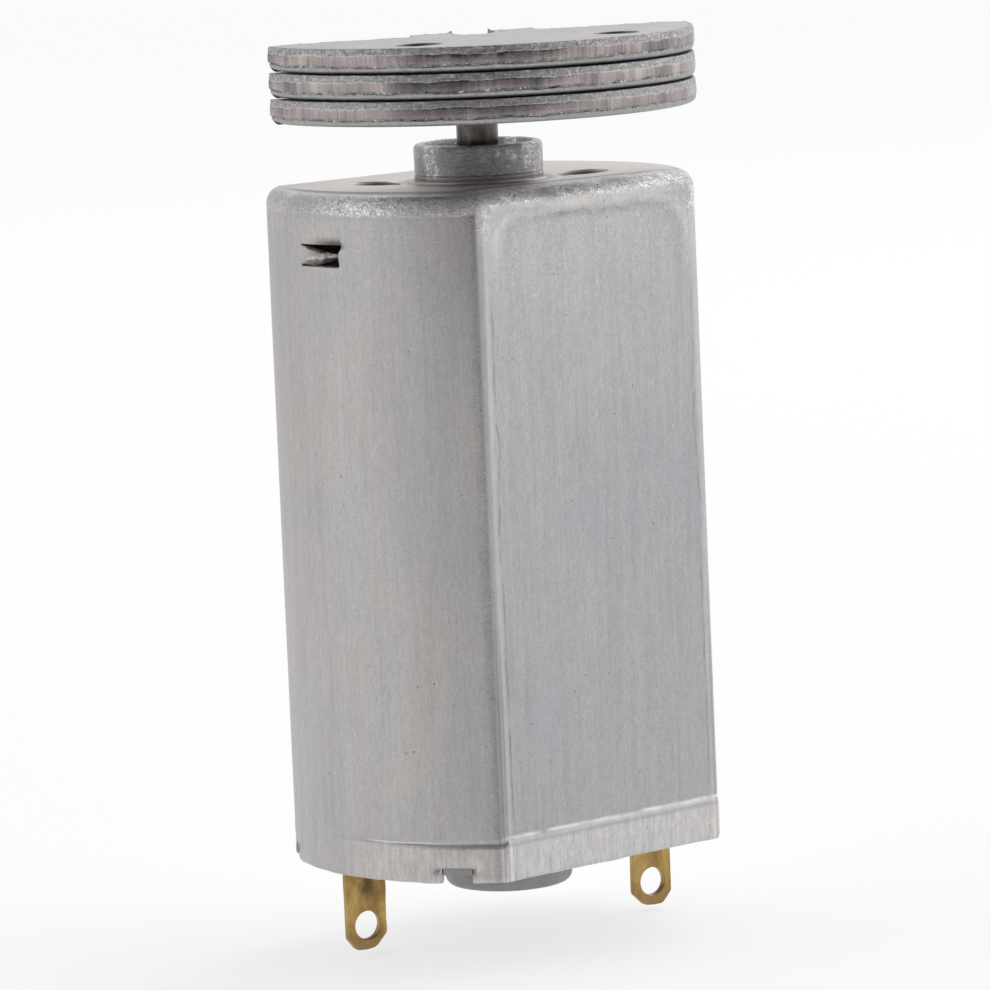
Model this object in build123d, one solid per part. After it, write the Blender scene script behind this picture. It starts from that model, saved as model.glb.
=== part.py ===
from build123d import *
import os
from math import cos, sin, radians

# Small flat-sided brushed DC motor with three stacked eccentric plates, in millimetres.
# Origin: centre of the can's front face, on the shaft axis.  +Z points out of the motor
# along the shaft, so "front" is +Z and "rear" is -Z.  X runs across the can's round
# sides, Y across its two flats.

# ---- can ----
can_radius = 10.2
can_flat = 7.6              # half distance across the flats
can_length = 32.1
sheet = 0.6
front_wall = 0.8
corner_fillet = 0.45        # corners between round side and flat
front_fillet = 0.85
inner_corner_fillet = 0.3   # also on the parts that fit inside the can
rim_top = -30.4             # start of the thinned rim that takes the end cap
rim_step = 0.05             # rim stands out this far
seat_radius = 9.75          # inside of the rim
seat_flat = 7.15
notch_angles = (34.7, 145.3, 214.7, 325.3)
notch_width = 1.5
notch_depth = 0.72

boss_radius = 3.075
boss_height = 1.84
boss_bore = 2.45
boss_fillet = 0.22
groove_z = 0.39
groove_half = 0.03
groove_depth = 0.05
mount_circle = 10.0         # diameter of the mounting hole circle
mount_hole_radius = 1.1
mount_angle = 148.0

window_y = (-1.3, 1.5)
window_top, window_bottom = -2.2, -3.25
window_inner_x = 8.6
tab_root_x = -9.9
tab_angle = 56
tab_length, tab_thickness = 2.3, 0.45

# ---- shaft and bearings ----
shaft_radius = 1.0
shaft_front, shaft_rear = 6.6, -33.75
shaft_chamfer = 0.15
bearing_bore = shaft_radius + 0.03
front_bearing_top, front_bearing_bottom = 1.6, -1.0
front_bearing_chamfer = 0.15
rear_bearing_top, rear_bearing_bottom = -30.95, -33.5
rear_bearing_radius = 2.3

# ---- magnets and springs ----
magnet_inner, magnet_outer = 7.0, 9.57
magnet_half_angle = 43.0
magnet_top, magnet_bottom = -3.5, -23.5
magnet_fillet = 0.25
wire_radius = 0.4
wire_bend = 1.0
spring_x, spring_y = 6.33, 6.57
spring_top, spring_bottom = -4.6, -24.4

# ---- end cap ----
cap_top, cap_bottom = -30.75, -31.75
cap_clearance = 0.02
lug_side_clearance = 0.03
lug_tip_clearance = 0.06
rear_boss_radius = 3.08
rear_boss_z = -34.0
rear_boss_fillet = 0.45
rear_hole_radius = 1.4

# ---- terminals ----
terminal_x, terminal_y = -7.8, 1.63
terminal_angle = -11.8
terminal_width = 2.15
terminal_thickness = 0.4
terminal_top, terminal_tip = -24.9, -36.25
terminal_clip = 0.62        # height of both tip corners, and width of the +X one
terminal_clip_small = 0.55  # width of the -X tip corner
terminal_hole_z = -35.05
terminal_hole_radius = 0.67
terminal_place = Pos(terminal_x, terminal_y, 0) * Rot(0, 0, terminal_angle)
sleeve_place = Pos(terminal_x + 0.1, terminal_y, 0) * Rot(0, 0, terminal_angle)

# ---- brush holder ----
holder_radius, holder_flat = 9.5, 6.9
holder_top = -29.2
holder_bore = 2.9
holder_overlap = 0.1        # shared depth where posts and walls join the plate

# ---- armature ----
core_radius = 6.6
core_top = -7.0
lamination = 0.5
lamination_count = 26
core_bottom = core_top - lamination * lamination_count
hub_radius = 2.4
neck_half = 0.85
shoe_inner = 5.6
shoe_half_angle = 50.0
insulator = 0.4
coil_inner, coil_outer = 2.75, 5.4
coil_half = 2.65
coil_overhang = 1.35        # beyond the insulators at each end
coil_fillet = 0.9
pole_angles = (90, 210, 330)

# ---- commutator ----
com_top, com_bottom = -22.6, -28.0
com_radius = 2.2
com_base_radius = 1.75
com_flange_radius = com_radius + 0.3
com_flange = 0.55
segment_bottom = com_bottom + 0.55
segment_gap = 7.0           # degrees between copper segments
riser_radius = 3.7
riser_half_angle = 9
riser_thickness = 0.35

# ---- brushes ----
brush_z = -25.7
brush_half_x, brush_half_z = 0.85, 0.75
leaf_thickness = 0.16
leaf_y = 3.75               # outer face of the leaf
leaf_root_x, leaf_tip_x = -6.45, 1.7
leaf_foot_y = 1.75
leaf_half_z = 0.9
leaf_slot_x = (-4.6, -1.6)
leaf_slot_half_z = 0.2
damper_thickness = 0.5
damper_half_z = 0.7

# ---- eccentric plates ----
plate_radius = 10.52
plate_thickness = 1.2
plate_pitch = 1.235
plate_z = 3.33
mass_angle = 246.0          # direction of the heavy side
straight_edge = 0.85        # distance from the axis towards the mass
lug_back = -0.5             # back of the shaft lug, measured the same way
lug_half = 3.3
lug_fillet = 0.6
dimple_radius = 1.05
dimple_distance = 8.3       # from the shaft axis
dimple_half_angle = 35.6
dimple_depth = 0.38
pip_length = dimple_depth - 0.06
pip_clearance = 0.03

# Plain rings: name, outer radius, inner radius, bottom z, top z
rings = (
    ("rear_bearing", rear_bearing_radius, bearing_bore, rear_bearing_bottom, rear_bearing_top),
    ("spacer_bush", 1.9, shaft_radius, -5.0, -1.75),
    ("thrust_washer_front", 2.1, shaft_radius, -1.72, -1.42),
    ("thrust_washer_inner", 1.8, shaft_radius, -1.42, -1.15),
    ("commutator_ring", com_radius + 0.35, com_radius, segment_bottom, segment_bottom + 0.7),
    ("spark_ring", 4.3, com_flange_radius, com_top, com_top + com_flange),
    ("oil_washer", 1.9, shaft_radius, -29.1, com_bottom),
    ("thrust_washer_rear", 1.9, shaft_radius, -30.75, -30.35),
)

# Many features repeat half a turn round the shaft
half_turns = (Rot(0, 0, 0), Rot(0, 0, 180))


# ---- helpers ----
def cyl(radius, z_lo, z_hi):
    return Pos(0, 0, (z_lo + z_hi) / 2) * Cylinder(radius, z_hi - z_lo)


def box(x0, x1, y0, y1, z0, z1):
    centre = Pos((x0 + x1) / 2, (y0 + y1) / 2, (z0 + z1) / 2)
    return centre * Box(x1 - x0, y1 - y0, z1 - z0)


def tube(outer, inner, z_lo, z_hi):
    return cyl(outer, z_lo, z_hi) - cyl(inner, z_lo - 0.01, z_hi + 0.01)


def polar(radius, angle):
    return Pos(radius * cos(radians(angle)), radius * sin(radians(angle)), 0)


def edges_at(shape, z):
    return [e for e in shape.edges() if abs(e.center().Z - z) < 1e-6]


def flat_sided(radius, flat, z_lo, z_hi, corner):
    """Cylinder with two flats facing +Y and -Y and rounded corners."""
    body = cyl(radius, z_lo, z_hi) & box(-radius, radius, -flat, flat, z_lo, z_hi)
    corners = [e for e in body.edges().filter_by(Axis.Z) if abs(abs(e.center().Y) - flat) < 0.05]
    return fillet(corners, corner)


def sector(outer, inner, start, end, z_lo, z_hi):
    """Ring segment between two angles in degrees."""
    def point(radius, angle):
        return (radius * cos(radians(angle)), radius * sin(radians(angle)))

    middle = (start + end) / 2
    with BuildPart() as part:
        with BuildSketch(Plane.XY.offset(z_lo)):
            with BuildLine():
                side = Line(point(inner, start), point(outer, start))
                arc = ThreePointArc(side @ 1, point(outer, middle), point(outer, end))
                back = Line(arc @ 1, point(inner, end))
                ThreePointArc(back @ 1, point(inner, middle), side @ 0)
            make_face()
        extrude(amount=z_hi - z_lo)
    return part.part


def save(name, *shapes):
    solids = [solid for shape in shapes for solid in shape.solids()]
    out = solids[0] if len(solids) == 1 else Compound(children=solids)
    out.label = name
    export_step(out, "parts/" + name + ".step")


# ---- can: drawn steel cup ----
def make_can():
    below = -can_length - 1
    outer = flat_sided(can_radius, can_flat, -can_length, 0.0, corner_fillet)
    outer = fillet(edges_at(outer, 0), front_fillet)
    rim = flat_sided(
        can_radius + rim_step, can_flat + rim_step, -can_length, rim_top, corner_fillet
    )
    boss = cyl(boss_radius, -0.2, boss_height)
    boss = fillet(edges_at(boss, boss_height), boss_fillet)
    groove = tube(
        boss_radius + 0.2, boss_radius - groove_depth,
        groove_z - groove_half, groove_z + groove_half,
    )
    can = outer + rim + boss - groove
    cavity = flat_sided(
        can_radius - sheet, can_flat - sheet, below, -front_wall, inner_corner_fillet
    )
    seat = flat_sided(seat_radius, seat_flat, below, rim_top, inner_corner_fillet)
    can = can - cavity - seat - cyl(boss_bore, -2, boss_height + 1)
    for angle in (mount_angle, mount_angle + 180):
        can -= polar(mount_circle / 2, angle) * cyl(mount_hole_radius, -2, 1)

    # a window in each round side
    window = box(-can_radius - 1, -window_inner_x, *window_y, window_bottom, window_top)
    for turn in half_turns:
        can -= turn * window
    # on the -X side the tab starts in the wall at the window's +Y end and slopes inwards
    root = Pos(tab_root_x, window_y[1] + 0.1, (window_top + window_bottom) / 2)
    tab_height = window_top - window_bottom - 0.1
    bar = Pos(0.95, -0.12, 0) * Box(tab_length, tab_thickness, tab_height)
    for turn in half_turns:
        tab = root * Rot(0, 0, tab_angle) * bar
        tab = tab & cyl(can_radius - 0.05, -10, 0)
        can += turn * tab

    for angle in notch_angles:
        can -= Rot(0, 0, angle) * box(
            8.5, can_radius + 1, -notch_width / 2, notch_width / 2,
            below, -can_length + notch_depth,
        )
    return can


# ---- front bearing: bush pressed into the boss ----
def make_front_bearing():
    bush = tube(boss_bore, bearing_bore, front_bearing_bottom, front_bearing_top)
    return chamfer(edges_at(bush, front_bearing_top), front_bearing_chamfer)


# ---- magnets and their wire springs ----
def make_magnet():
    magnet = sector(
        magnet_outer, magnet_inner, -magnet_half_angle, magnet_half_angle,
        magnet_bottom, magnet_top,
    )
    return fillet(magnet.edges().filter_by(Axis.Z), magnet_fillet)


def make_spring(y):
    """U of wire: two legs beside the magnet ends, joined near the rear."""
    with BuildPart() as part:
        with BuildLine():
            FilletPolyline(
                (-spring_x, y, spring_top), (-spring_x, y, spring_bottom),
                (spring_x, y, spring_bottom), (spring_x, y, spring_top),
                radius=wire_bend,
            )
        with BuildSketch(Plane(origin=(-spring_x, y, spring_top), z_dir=(0, 0, -1))):
            Circle(wire_radius)
        sweep()
    return part.part


# ---- end cap: steel plate with four lugs and the rear boss ----
def make_end_cap():
    cap = flat_sided(
        seat_radius - cap_clearance, seat_flat - cap_clearance,
        cap_bottom, cap_top, inner_corner_fillet,
    )
    lug_half_width = notch_width / 2 - lug_side_clearance
    for angle in notch_angles:
        cap += Rot(0, 0, angle) * box(
            8.4, can_radius - lug_tip_clearance, -lug_half_width, lug_half_width,
            cap_bottom, -can_length + notch_depth - cap_clearance,
        )
    boss = cyl(rear_boss_radius, rear_boss_z, cap_bottom + 0.1)
    cap = cap + fillet(edges_at(boss, rear_boss_z), rear_boss_fillet)
    cap -= cyl(rear_bearing_radius, rear_bearing_bottom, 0)
    cap -= cyl(rear_hole_radius, rear_boss_z - 1, 0)
    # slots for the terminal sleeves
    for turn in half_turns:
        cap -= turn * sleeve_place * box(-1.65, 1.65, -0.95, 0.95, -33, -29)
    return cap


# ---- brush holder: moulded plate on the inner face of the end cap ----
def make_brush_holder():
    post_bottom = holder_top - holder_overlap
    sleeve = box(-1.55, 1.55, -0.85, 0.85, -32.0, holder_top + holder_overlap)
    post = box(-1.3, 1.6, -0.95, 0.95, post_bottom, -26.9)
    wall = box(-2.6, 2.6, 5.2, 6.0, post_bottom, -26.6)  # stands outside the leaf damper
    slot = box(
        -terminal_width / 2, terminal_width / 2,
        -terminal_thickness / 2, terminal_thickness / 2, -40, -20,
    )
    holder = flat_sided(holder_radius, holder_flat, cap_top, holder_top, inner_corner_fillet)
    holder -= cyl(holder_bore, -40, 0)
    for turn in half_turns:
        holder += turn * sleeve_place * sleeve
        holder += turn * sleeve_place * post
        holder += turn * wall
    for turn in half_turns:
        holder -= turn * terminal_place * slot
    return holder


# ---- terminal: flat tag with a wire hole and clipped tip ----
def make_terminal():
    half = terminal_width / 2
    clip_z = terminal_tip + terminal_clip
    with BuildPart() as part:
        with BuildSketch(Plane.XZ):
            with BuildLine():
                Polyline(
                    (-half, terminal_top), (-half, clip_z),
                    (-half + terminal_clip_small, terminal_tip),
                    (half - terminal_clip, terminal_tip),
                    (half, clip_z), (half, terminal_top), close=True,
                )
            make_face()
            with Locations((0, terminal_hole_z)):
                Circle(terminal_hole_radius, mode=Mode.SUBTRACT)
        extrude(amount=terminal_thickness / 2, both=True)
    return terminal_place * part.part


# ---- brush gear: a leaf with its foot beside the terminal, a brush and a damper ----
def make_leaf():
    leaf_z = (brush_z - leaf_half_z, brush_z + leaf_half_z)
    leaf = box(leaf_root_x, leaf_tip_x, leaf_y - leaf_thickness, leaf_y, *leaf_z)
    leaf -= box(
        *leaf_slot_x, leaf_y - 1, leaf_y + 1,
        brush_z - leaf_slot_half_z, brush_z + leaf_slot_half_z,
    )
    foot = box(leaf_root_x, leaf_root_x + leaf_thickness, leaf_foot_y, leaf_y, *leaf_z)
    return leaf + foot


def make_brush():
    brush = box(
        -brush_half_x, brush_half_x, com_radius, leaf_y - leaf_thickness,
        brush_z - brush_half_z, brush_z + brush_half_z,
    )
    return brush - cyl(com_radius + 0.02, -40, 0)


def make_damper():
    return box(
        -1.5, 1.6, leaf_y, leaf_y + damper_thickness,
        brush_z - damper_half_z, brush_z + damper_half_z,
    )


# ---- rotor: shaft, laminated core, coils, commutator ----
def make_shaft():
    shaft = cyl(shaft_radius, shaft_rear, shaft_front)
    return chamfer(shaft.edges().filter_by(GeomType.CIRCLE), shaft_chamfer)


def core_slice(outer, z_lo, z_hi, neck, hub, inner, half_angle):
    """Three-pole slice: hub, necks and curved pole shoes."""
    profile = tube(hub, shaft_radius, z_lo, z_hi)
    for angle in pole_angles:
        shoe = sector(outer, inner, angle - half_angle, angle + half_angle, z_lo, z_hi)
        neck_bar = Rot(0, 0, angle) * box(hub - 0.5, inner + 0.3, -neck, neck, z_lo, z_hi)
        profile += neck_bar + shoe
    return profile


def make_coil(angle):
    z_hi, z_lo = core_top + insulator, core_bottom - insulator
    coil = box(
        coil_inner, coil_outer, -coil_half, coil_half, z_lo - coil_overhang, z_hi + coil_overhang
    )
    coil = coil & cyl(shoe_inner - 0.07, -40, 0)
    long_edges = [
        e for e in coil.edges().filter_by(Axis.X) if abs(abs(e.center().Y) - coil_half) < 0.3
    ]
    coil = fillet(long_edges, coil_fillet)
    opening = neck_half + 0.07
    coil -= box(0, 8, -opening, opening, z_lo - 0.02, z_hi + 0.02)
    return Rot(0, 0, angle) * coil


def make_commutator_base():
    barrel = tube(com_base_radius, shaft_radius, com_bottom, com_top)
    return barrel + tube(com_flange_radius, shaft_radius, com_top, com_top + com_flange)


def make_segment(angle):
    half = 60 - segment_gap / 2
    segment = sector(
        com_radius, com_base_radius, angle - half, angle + half, segment_bottom, com_top
    )
    # riser tang at the front end
    segment += sector(
        riser_radius, com_radius - 0.2, angle - riser_half_angle, angle + riser_half_angle,
        com_top - riser_thickness, com_top,
    )
    return segment


# ---- eccentric plate: half disc whose lug has an open notch round the shaft ----
def make_plate(bottom, pips):
    """With pips: blind dimples on top, pips below.  Without: through holes."""
    top = bottom + plate_thickness
    cut_z = (bottom - 1, top + 1)
    reach = 20              # beyond the disc
    turn = Rot(0, 0, mass_angle)
    disc = cyl(plate_radius, bottom, top)
    for y_lo, y_hi in ((-reach, -lug_half), (lug_half, reach)):
        disc -= turn * box(-reach, straight_edge, y_lo, y_hi, *cut_z)
    disc -= turn * box(-reach, lug_back, -reach, reach, *cut_z)

    def along_mass(point):
        return point.X * cos(radians(mass_angle)) + point.Y * sin(radians(mass_angle))

    lug_corners = [
        e for e in disc.edges().filter_by(Axis.Z)
        if abs(along_mass(e.center()) - lug_back) < 0.01
    ]
    disc = fillet(lug_corners, lug_fillet)
    disc -= cyl(shaft_radius, *cut_z)
    for angle in (mass_angle - dimple_half_angle, mass_angle + dimple_half_angle):
        place = polar(dimple_distance, angle)
        if pips:
            disc -= place * cyl(dimple_radius, top - dimple_depth, top + 1)
            disc += place * cyl(dimple_radius - pip_clearance, bottom - pip_length, bottom + 0.1)
        else:
            disc -= place * cyl(dimple_radius, *cut_z)
    return disc


# ---- build and export ----
os.makedirs("parts", exist_ok=True)

save("can", make_can())
save("front_bearing", make_front_bearing())
save("end_cap", make_end_cap())
save("brush_holder", make_brush_holder())
save("shaft", make_shaft())
save("commutator_base", make_commutator_base())
for name, *ring in rings:
    save(name, tube(*ring))

magnet = make_magnet()
save("magnet_right", magnet)
save("magnet_left", half_turns[1] * magnet)
save("magnet_spring_front", make_spring(-spring_y))
save("magnet_spring_back", make_spring(spring_y))

# "left" is the terminal on the -X side, with the brush on the +Y side
paired = {
    "terminal_": make_terminal(),
    "brush_leaf_": make_leaf(),
    "brush_": make_brush(),
    "leaf_damper_": make_damper(),
}
for name, shape in paired.items():
    for turn, side in zip(half_turns, ("left", "right")):
        save(name + side, turn * shape)

sheet_slice = core_slice(
    core_radius, core_top - lamination, core_top,
    neck_half, hub_radius, shoe_inner, shoe_half_angle,
)
save(
    "armature_laminations",
    *[Pos(0, 0, -lamination * i) * sheet_slice for i in range(lamination_count)],
)
end_insulator = core_slice(
    core_radius - 0.15, core_top, core_top + insulator,
    neck_half + 0.05, hub_radius + 0.1, shoe_inner - 0.05, shoe_half_angle - 1,
)
save("core_insulator_front", end_insulator)
save("core_insulator_rear", Pos(0, 0, core_bottom - core_top - insulator) * end_insulator)

for number, angle in enumerate(pole_angles, 1):
    save(f"coil_{number}", make_coil(angle))
    save(f"commutator_segment_{number}", make_segment(angle - 60))

for level, name in enumerate(("bottom", "middle", "top")):
    save("eccentric_plate_" + name, make_plate(plate_z + level * plate_pitch, pips=level > 0))
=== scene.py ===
"""Vibration motor: a can with two flats, and three eccentric plates on its shaft.

The shaft lies on the Z axis and points up. The can's front face is at z = 0, its rear
end cap is at the bottom, and the two brass tags reach down to the floor. The flats face
-Y and +Y, the round sides -X and +X. Shapes are in millimetres and the scene in metres.
"""

import math
import random

import bmesh
import bpy
import numpy as np
from mathutils import Matrix, Vector
from mathutils.geometry import delaunay_2d_cdt


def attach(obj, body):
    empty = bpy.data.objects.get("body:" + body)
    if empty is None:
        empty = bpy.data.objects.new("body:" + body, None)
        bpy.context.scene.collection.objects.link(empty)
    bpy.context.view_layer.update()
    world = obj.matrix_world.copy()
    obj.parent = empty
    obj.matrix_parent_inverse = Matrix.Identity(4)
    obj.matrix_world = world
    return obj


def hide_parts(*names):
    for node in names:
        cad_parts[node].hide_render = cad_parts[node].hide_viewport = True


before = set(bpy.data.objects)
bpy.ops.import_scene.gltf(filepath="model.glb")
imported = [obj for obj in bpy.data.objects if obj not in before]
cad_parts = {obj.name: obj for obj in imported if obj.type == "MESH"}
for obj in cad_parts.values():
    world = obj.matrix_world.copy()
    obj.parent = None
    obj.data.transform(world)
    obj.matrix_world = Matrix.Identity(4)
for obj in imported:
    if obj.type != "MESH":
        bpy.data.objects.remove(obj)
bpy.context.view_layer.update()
rng = np.random.default_rng(11)
random.seed(11)

MM = 0.001

# can
CAN_R, CAN_HALF_FLAT, CAN_LENGTH, SHEET = 10.2, 7.6, 32.1, 0.6
FLAT_BORDER_X = 6.75                    # vertical border of each flat
ROUND_EDGE, FLAT_EDGE = 0.78, 0.86      # front edge radius on round sides and flats
FACE_Z = 0.065                          # front face height
BOSS_FOOT_R, BOSS_R, BOSS_EDGE, BORE_R = 3.34, 3.072, 0.24, 2.455
NOTCH_TURN = 34.7                       # rim notches, degrees from the X axis
NOTCH_TURNS = (NOTCH_TURN, 180 - NOTCH_TURN, 180 + NOTCH_TURN, 360 - NOTCH_TURN)
FACE_HOLE_R, FACE_HOLE_TURN = 5, 148    # place of the first hole in the front face

# lanced window on the -X side; the +X one is this turned half round
WIN_LOW_Y, WIN_HIGH_Y, WIN_TOP, WIN_BOTTOM = -1.3, 1.5, -2.2, -3.25

# eccentric plates, drawn with their mass along u and their straight edge along v
PLATE_R, PLATE_THICK, PLATE_PITCH, PLATE_Z = 10.50, 1.2, 1.235, 3.33
MASS_DEG = 246.0
MASS_TURN = math.radians(MASS_DEG)
PLATE_EDGE_U, LUG_U, LUG_V = 0.85, -0.5, 3.3
SEAT_R = 1.0                            # notch round the shaft
PLATE_HOLE_R, PLATE_HOLE_TURN = 8.3, 35.6

# terminal tags and end cap
TAG_WIDTH, TAG_THICK, TAG_TOP, TAG_TIP = 2.15, 0.4, -24.9, -36.25
TAG_X, TAG_Y, TAG_TURN = -7.8, 1.63, math.radians(-11.8)
TAG_HOLE_Z, TAG_HOLE_R = -35.05, 0.665
CAP_REAR_Z, CAP_THICK = -31.75, 1.0
CAP_BOSS_R, CAP_BOSS_EDGE = 3.07, 0.48
CAP_LUG_R, CAP_LUG_HALF = 10.10, 0.78

SHAFT_TOP, SHAFT_BOTTOM = 6.6, -33.75


# ---------------------------------------------------------------------------
# numeric helpers
# ---------------------------------------------------------------------------
def smooth(start, end, value):
    """Eases from 0 at start to 1 at end."""
    t = np.clip((np.asarray(value, float) - start) / (end - start), 0, 1)
    return t * t * (3 - 2 * t)


def bell(*offsets):
    """1 where every offset is zero, falling off; offsets are in widths."""
    return np.exp(-sum(offset ** 2 for offset in offsets))


def lattice(ix, iy, iz, seed):
    """Repeatable value in [-1, 1] for each whole-number point."""
    mixed = (ix * 374761393 + iy * 668265263 + iz * 2147483647 + seed * 974634777) & 0xFFFFFFFF
    mixed = ((mixed ^ (mixed >> 13)) * 1274126177) & 0xFFFFFFFF
    mixed = (mixed ^ (mixed >> 16)) & 0xFFFFFFFF
    return mixed.astype(float) / 4294967295.0 * 2 - 1


def noise(x, y, z, seed):
    """Smooth value noise in [-1, 1] on arrays."""
    cells, weights = [], []
    for value in np.broadcast_arrays(*(np.asarray(v, float) for v in (x, y, z))):
        cell = np.floor(value).astype(np.int64)
        part = value - cell
        upper = part * part * (3 - 2 * part)
        cells.append(cell)
        weights.append(((0, 1 - upper), (1, upper)))
    total = 0
    for dx, wx in weights[0]:
        for dy, wy in weights[1]:
            for dz, wz in weights[2]:
                value = lattice(cells[0] + dx, cells[1] + dy, cells[2] + dz, seed)
                total = total + wx * wy * wz * value
    return total


def fractal(x, y, z, seed, octaves=3):
    """Noise summed over octaves, each twice as fine and half as strong."""
    total, strength, full = 0, 1.0, 0
    for octave in range(octaves):
        scale = 2 ** octave
        total = total + strength * noise(x * scale, y * scale, z * scale, seed + 17 * octave)
        full += strength
        strength *= 0.5
    return total / full


# ---------------------------------------------------------------------------
# mesh helpers
# ---------------------------------------------------------------------------
def add_object(name, data):
    obj = bpy.data.objects.new(name, data)
    bpy.context.scene.collection.objects.link(obj)
    return obj


def shade(obj, sharp_degrees):
    """Outward normals, smooth faces, and sharp edges above the given angle."""
    bm = bmesh.new()
    bm.from_mesh(obj.data)
    bmesh.ops.recalc_face_normals(bm, faces=bm.faces)
    limit = math.radians(sharp_degrees)
    for face in bm.faces:
        face.smooth = True
    for edge in bm.edges:
        edge.smooth = not (len(edge.link_faces) == 2 and edge.calc_face_angle(0) > limit)
    bm.to_mesh(obj.data)
    bm.free()


def make_object(name, points, faces, sharp_degrees=32):
    mesh = bpy.data.meshes.new(name)
    mesh.from_pydata([tuple(p) for p in (np.asarray(points, float) * MM)], [], faces)
    mesh.validate(clean_customdata=False)
    obj = add_object(name, mesh)
    shade(obj, sharp_degrees)
    return obj


def band(first, second, count):
    """Quads between two closed rings, given the number of each ring's first vertex."""
    return [(first + j, first + (j + 1) % count, second + (j + 1) % count, second + j)
            for j in range(count)]


def closed_grid(levels):
    """Closed mesh from equal rings; the last ring joins the first."""
    count = len(levels[0])
    faces = []
    for i in range(len(levels)):
        faces += band(i * count, ((i + 1) % len(levels)) * count, count)
    return np.concatenate(levels), faces


def lathe(profile, count, wobble=None):
    """Closed solid from (radius, z) points that run axis to axis or join up."""
    turns = np.linspace(0, 2 * np.pi, count, endpoint=False)
    on_axis = abs(profile[0][0]) < 1e-9 and abs(profile[-1][0]) < 1e-9
    levels = []
    for radius, z in (profile[1:-1] if on_axis else profile):
        radii, heights = np.full(count, float(radius)), np.full(count, float(z))
        if wobble is not None:
            radii = wobble(radii, heights, turns)
        levels.append(np.stack([radii * np.cos(turns), radii * np.sin(turns), heights], 1))
    if not on_axis:
        return closed_grid(levels)
    faces = []
    for i in range(len(levels) - 1):
        faces += band(i * count, (i + 1) * count, count)
    centre, last = len(levels) * count, (len(levels) - 1) * count
    for j in range(count):
        k = (j + 1) % count
        faces.append((centre, k, j))
        faces.append((centre + 1, last + j, last + k))
    ends = np.array([[0, 0, profile[0][1]], [0, 0, profile[-1][1]]], float)
    return np.concatenate(levels + [ends]), faces


def boolean(obj, cutter, operation="DIFFERENCE"):
    """Applies the cutter to the object and removes the cutter."""
    modifier = obj.modifiers.new("cut", "BOOLEAN")
    modifier.operation = operation
    modifier.solver = "EXACT"
    modifier.object = cutter
    bpy.context.view_layer.update()
    graph = bpy.context.evaluated_depsgraph_get()
    mesh = bpy.data.meshes.new_from_object(obj.evaluated_get(graph))
    obj.modifiers.clear()
    old = obj.data
    obj.data = mesh
    bpy.data.meshes.remove(old)
    bpy.data.objects.remove(cutter)


def box_cutter(centre, size, turn_degrees, corner):
    """Box whose edges along its own X are rounded, turned about Z."""
    bm = bmesh.new()
    bmesh.ops.create_cube(bm, size=1.0)
    for v in bm.verts:
        v.co = Vector((v.co.x * size[0], v.co.y * size[1], v.co.z * size[2]))
    long_edges = [e for e in bm.edges
                  if abs((e.verts[0].co - e.verts[1].co).normalized().x) > 0.9]
    bmesh.ops.bevel(bm, geom=long_edges, offset=corner, segments=5, profile=0.5,
                    affect="EDGES")
    bmesh.ops.rotate(bm, verts=bm.verts, cent=(0, 0, 0),
                     matrix=Matrix.Rotation(math.radians(turn_degrees), 3, "Z"))
    bmesh.ops.translate(bm, verts=bm.verts, vec=centre)
    for v in bm.verts:
        v.co *= MM
    bmesh.ops.recalc_face_normals(bm, faces=bm.faces)
    mesh = bpy.data.meshes.new("box_cutter")
    bm.to_mesh(mesh)
    bm.free()
    return add_object("box_cutter", mesh)


def register(obj, carrier, node):
    """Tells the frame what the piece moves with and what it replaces."""
    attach(obj, carrier)
    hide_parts(node)
    return obj


# ---------------------------------------------------------------------------
# can: outline and small relief
# ---------------------------------------------------------------------------
def outline(radius, half_flat, corner, arc_steps=136, corner_steps=10, flat_steps=108):
    """Points, outward normals and flatness (0 round side, 1 flat) round the can."""
    corner_x = math.sqrt(max((radius - corner) ** 2 - (half_flat - corner) ** 2, 1e-6))
    arc_end = math.atan2(half_flat - corner, corner_x)
    rows = []

    def add_corner(s, centre_x, start, rising):
        for i in range(corner_steps):
            t = i / corner_steps
            a = start + (math.pi / 2 - arc_end) * t
            rows.append((s * (centre_x + corner * math.cos(a)),
                         s * (half_flat - corner + corner * math.sin(a)),
                         s * math.cos(a), s * math.sin(a), t if rising else 1 - t))

    for s in (1, -1):
        for i in range(arc_steps):
            a = -arc_end + 2 * arc_end * i / arc_steps
            rows.append((s * radius * math.cos(a), s * radius * math.sin(a),
                         s * math.cos(a), s * math.sin(a), 0.0))
        add_corner(s, corner_x, arc_end, rising=True)
        for i in range(flat_steps):
            t = i / flat_steps
            rows.append((s * (corner_x - 2 * corner_x * t), s * half_flat, 0, s, 1.0))
        add_corner(s, -corner_x, math.pi / 2, rising=False)
    table = np.array(rows)
    return table[:, :2], table[:, 2:4], table[:, 4]


def level_at(xy, z):
    return np.column_stack([xy, np.broadcast_to(z, (len(xy),))])


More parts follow.
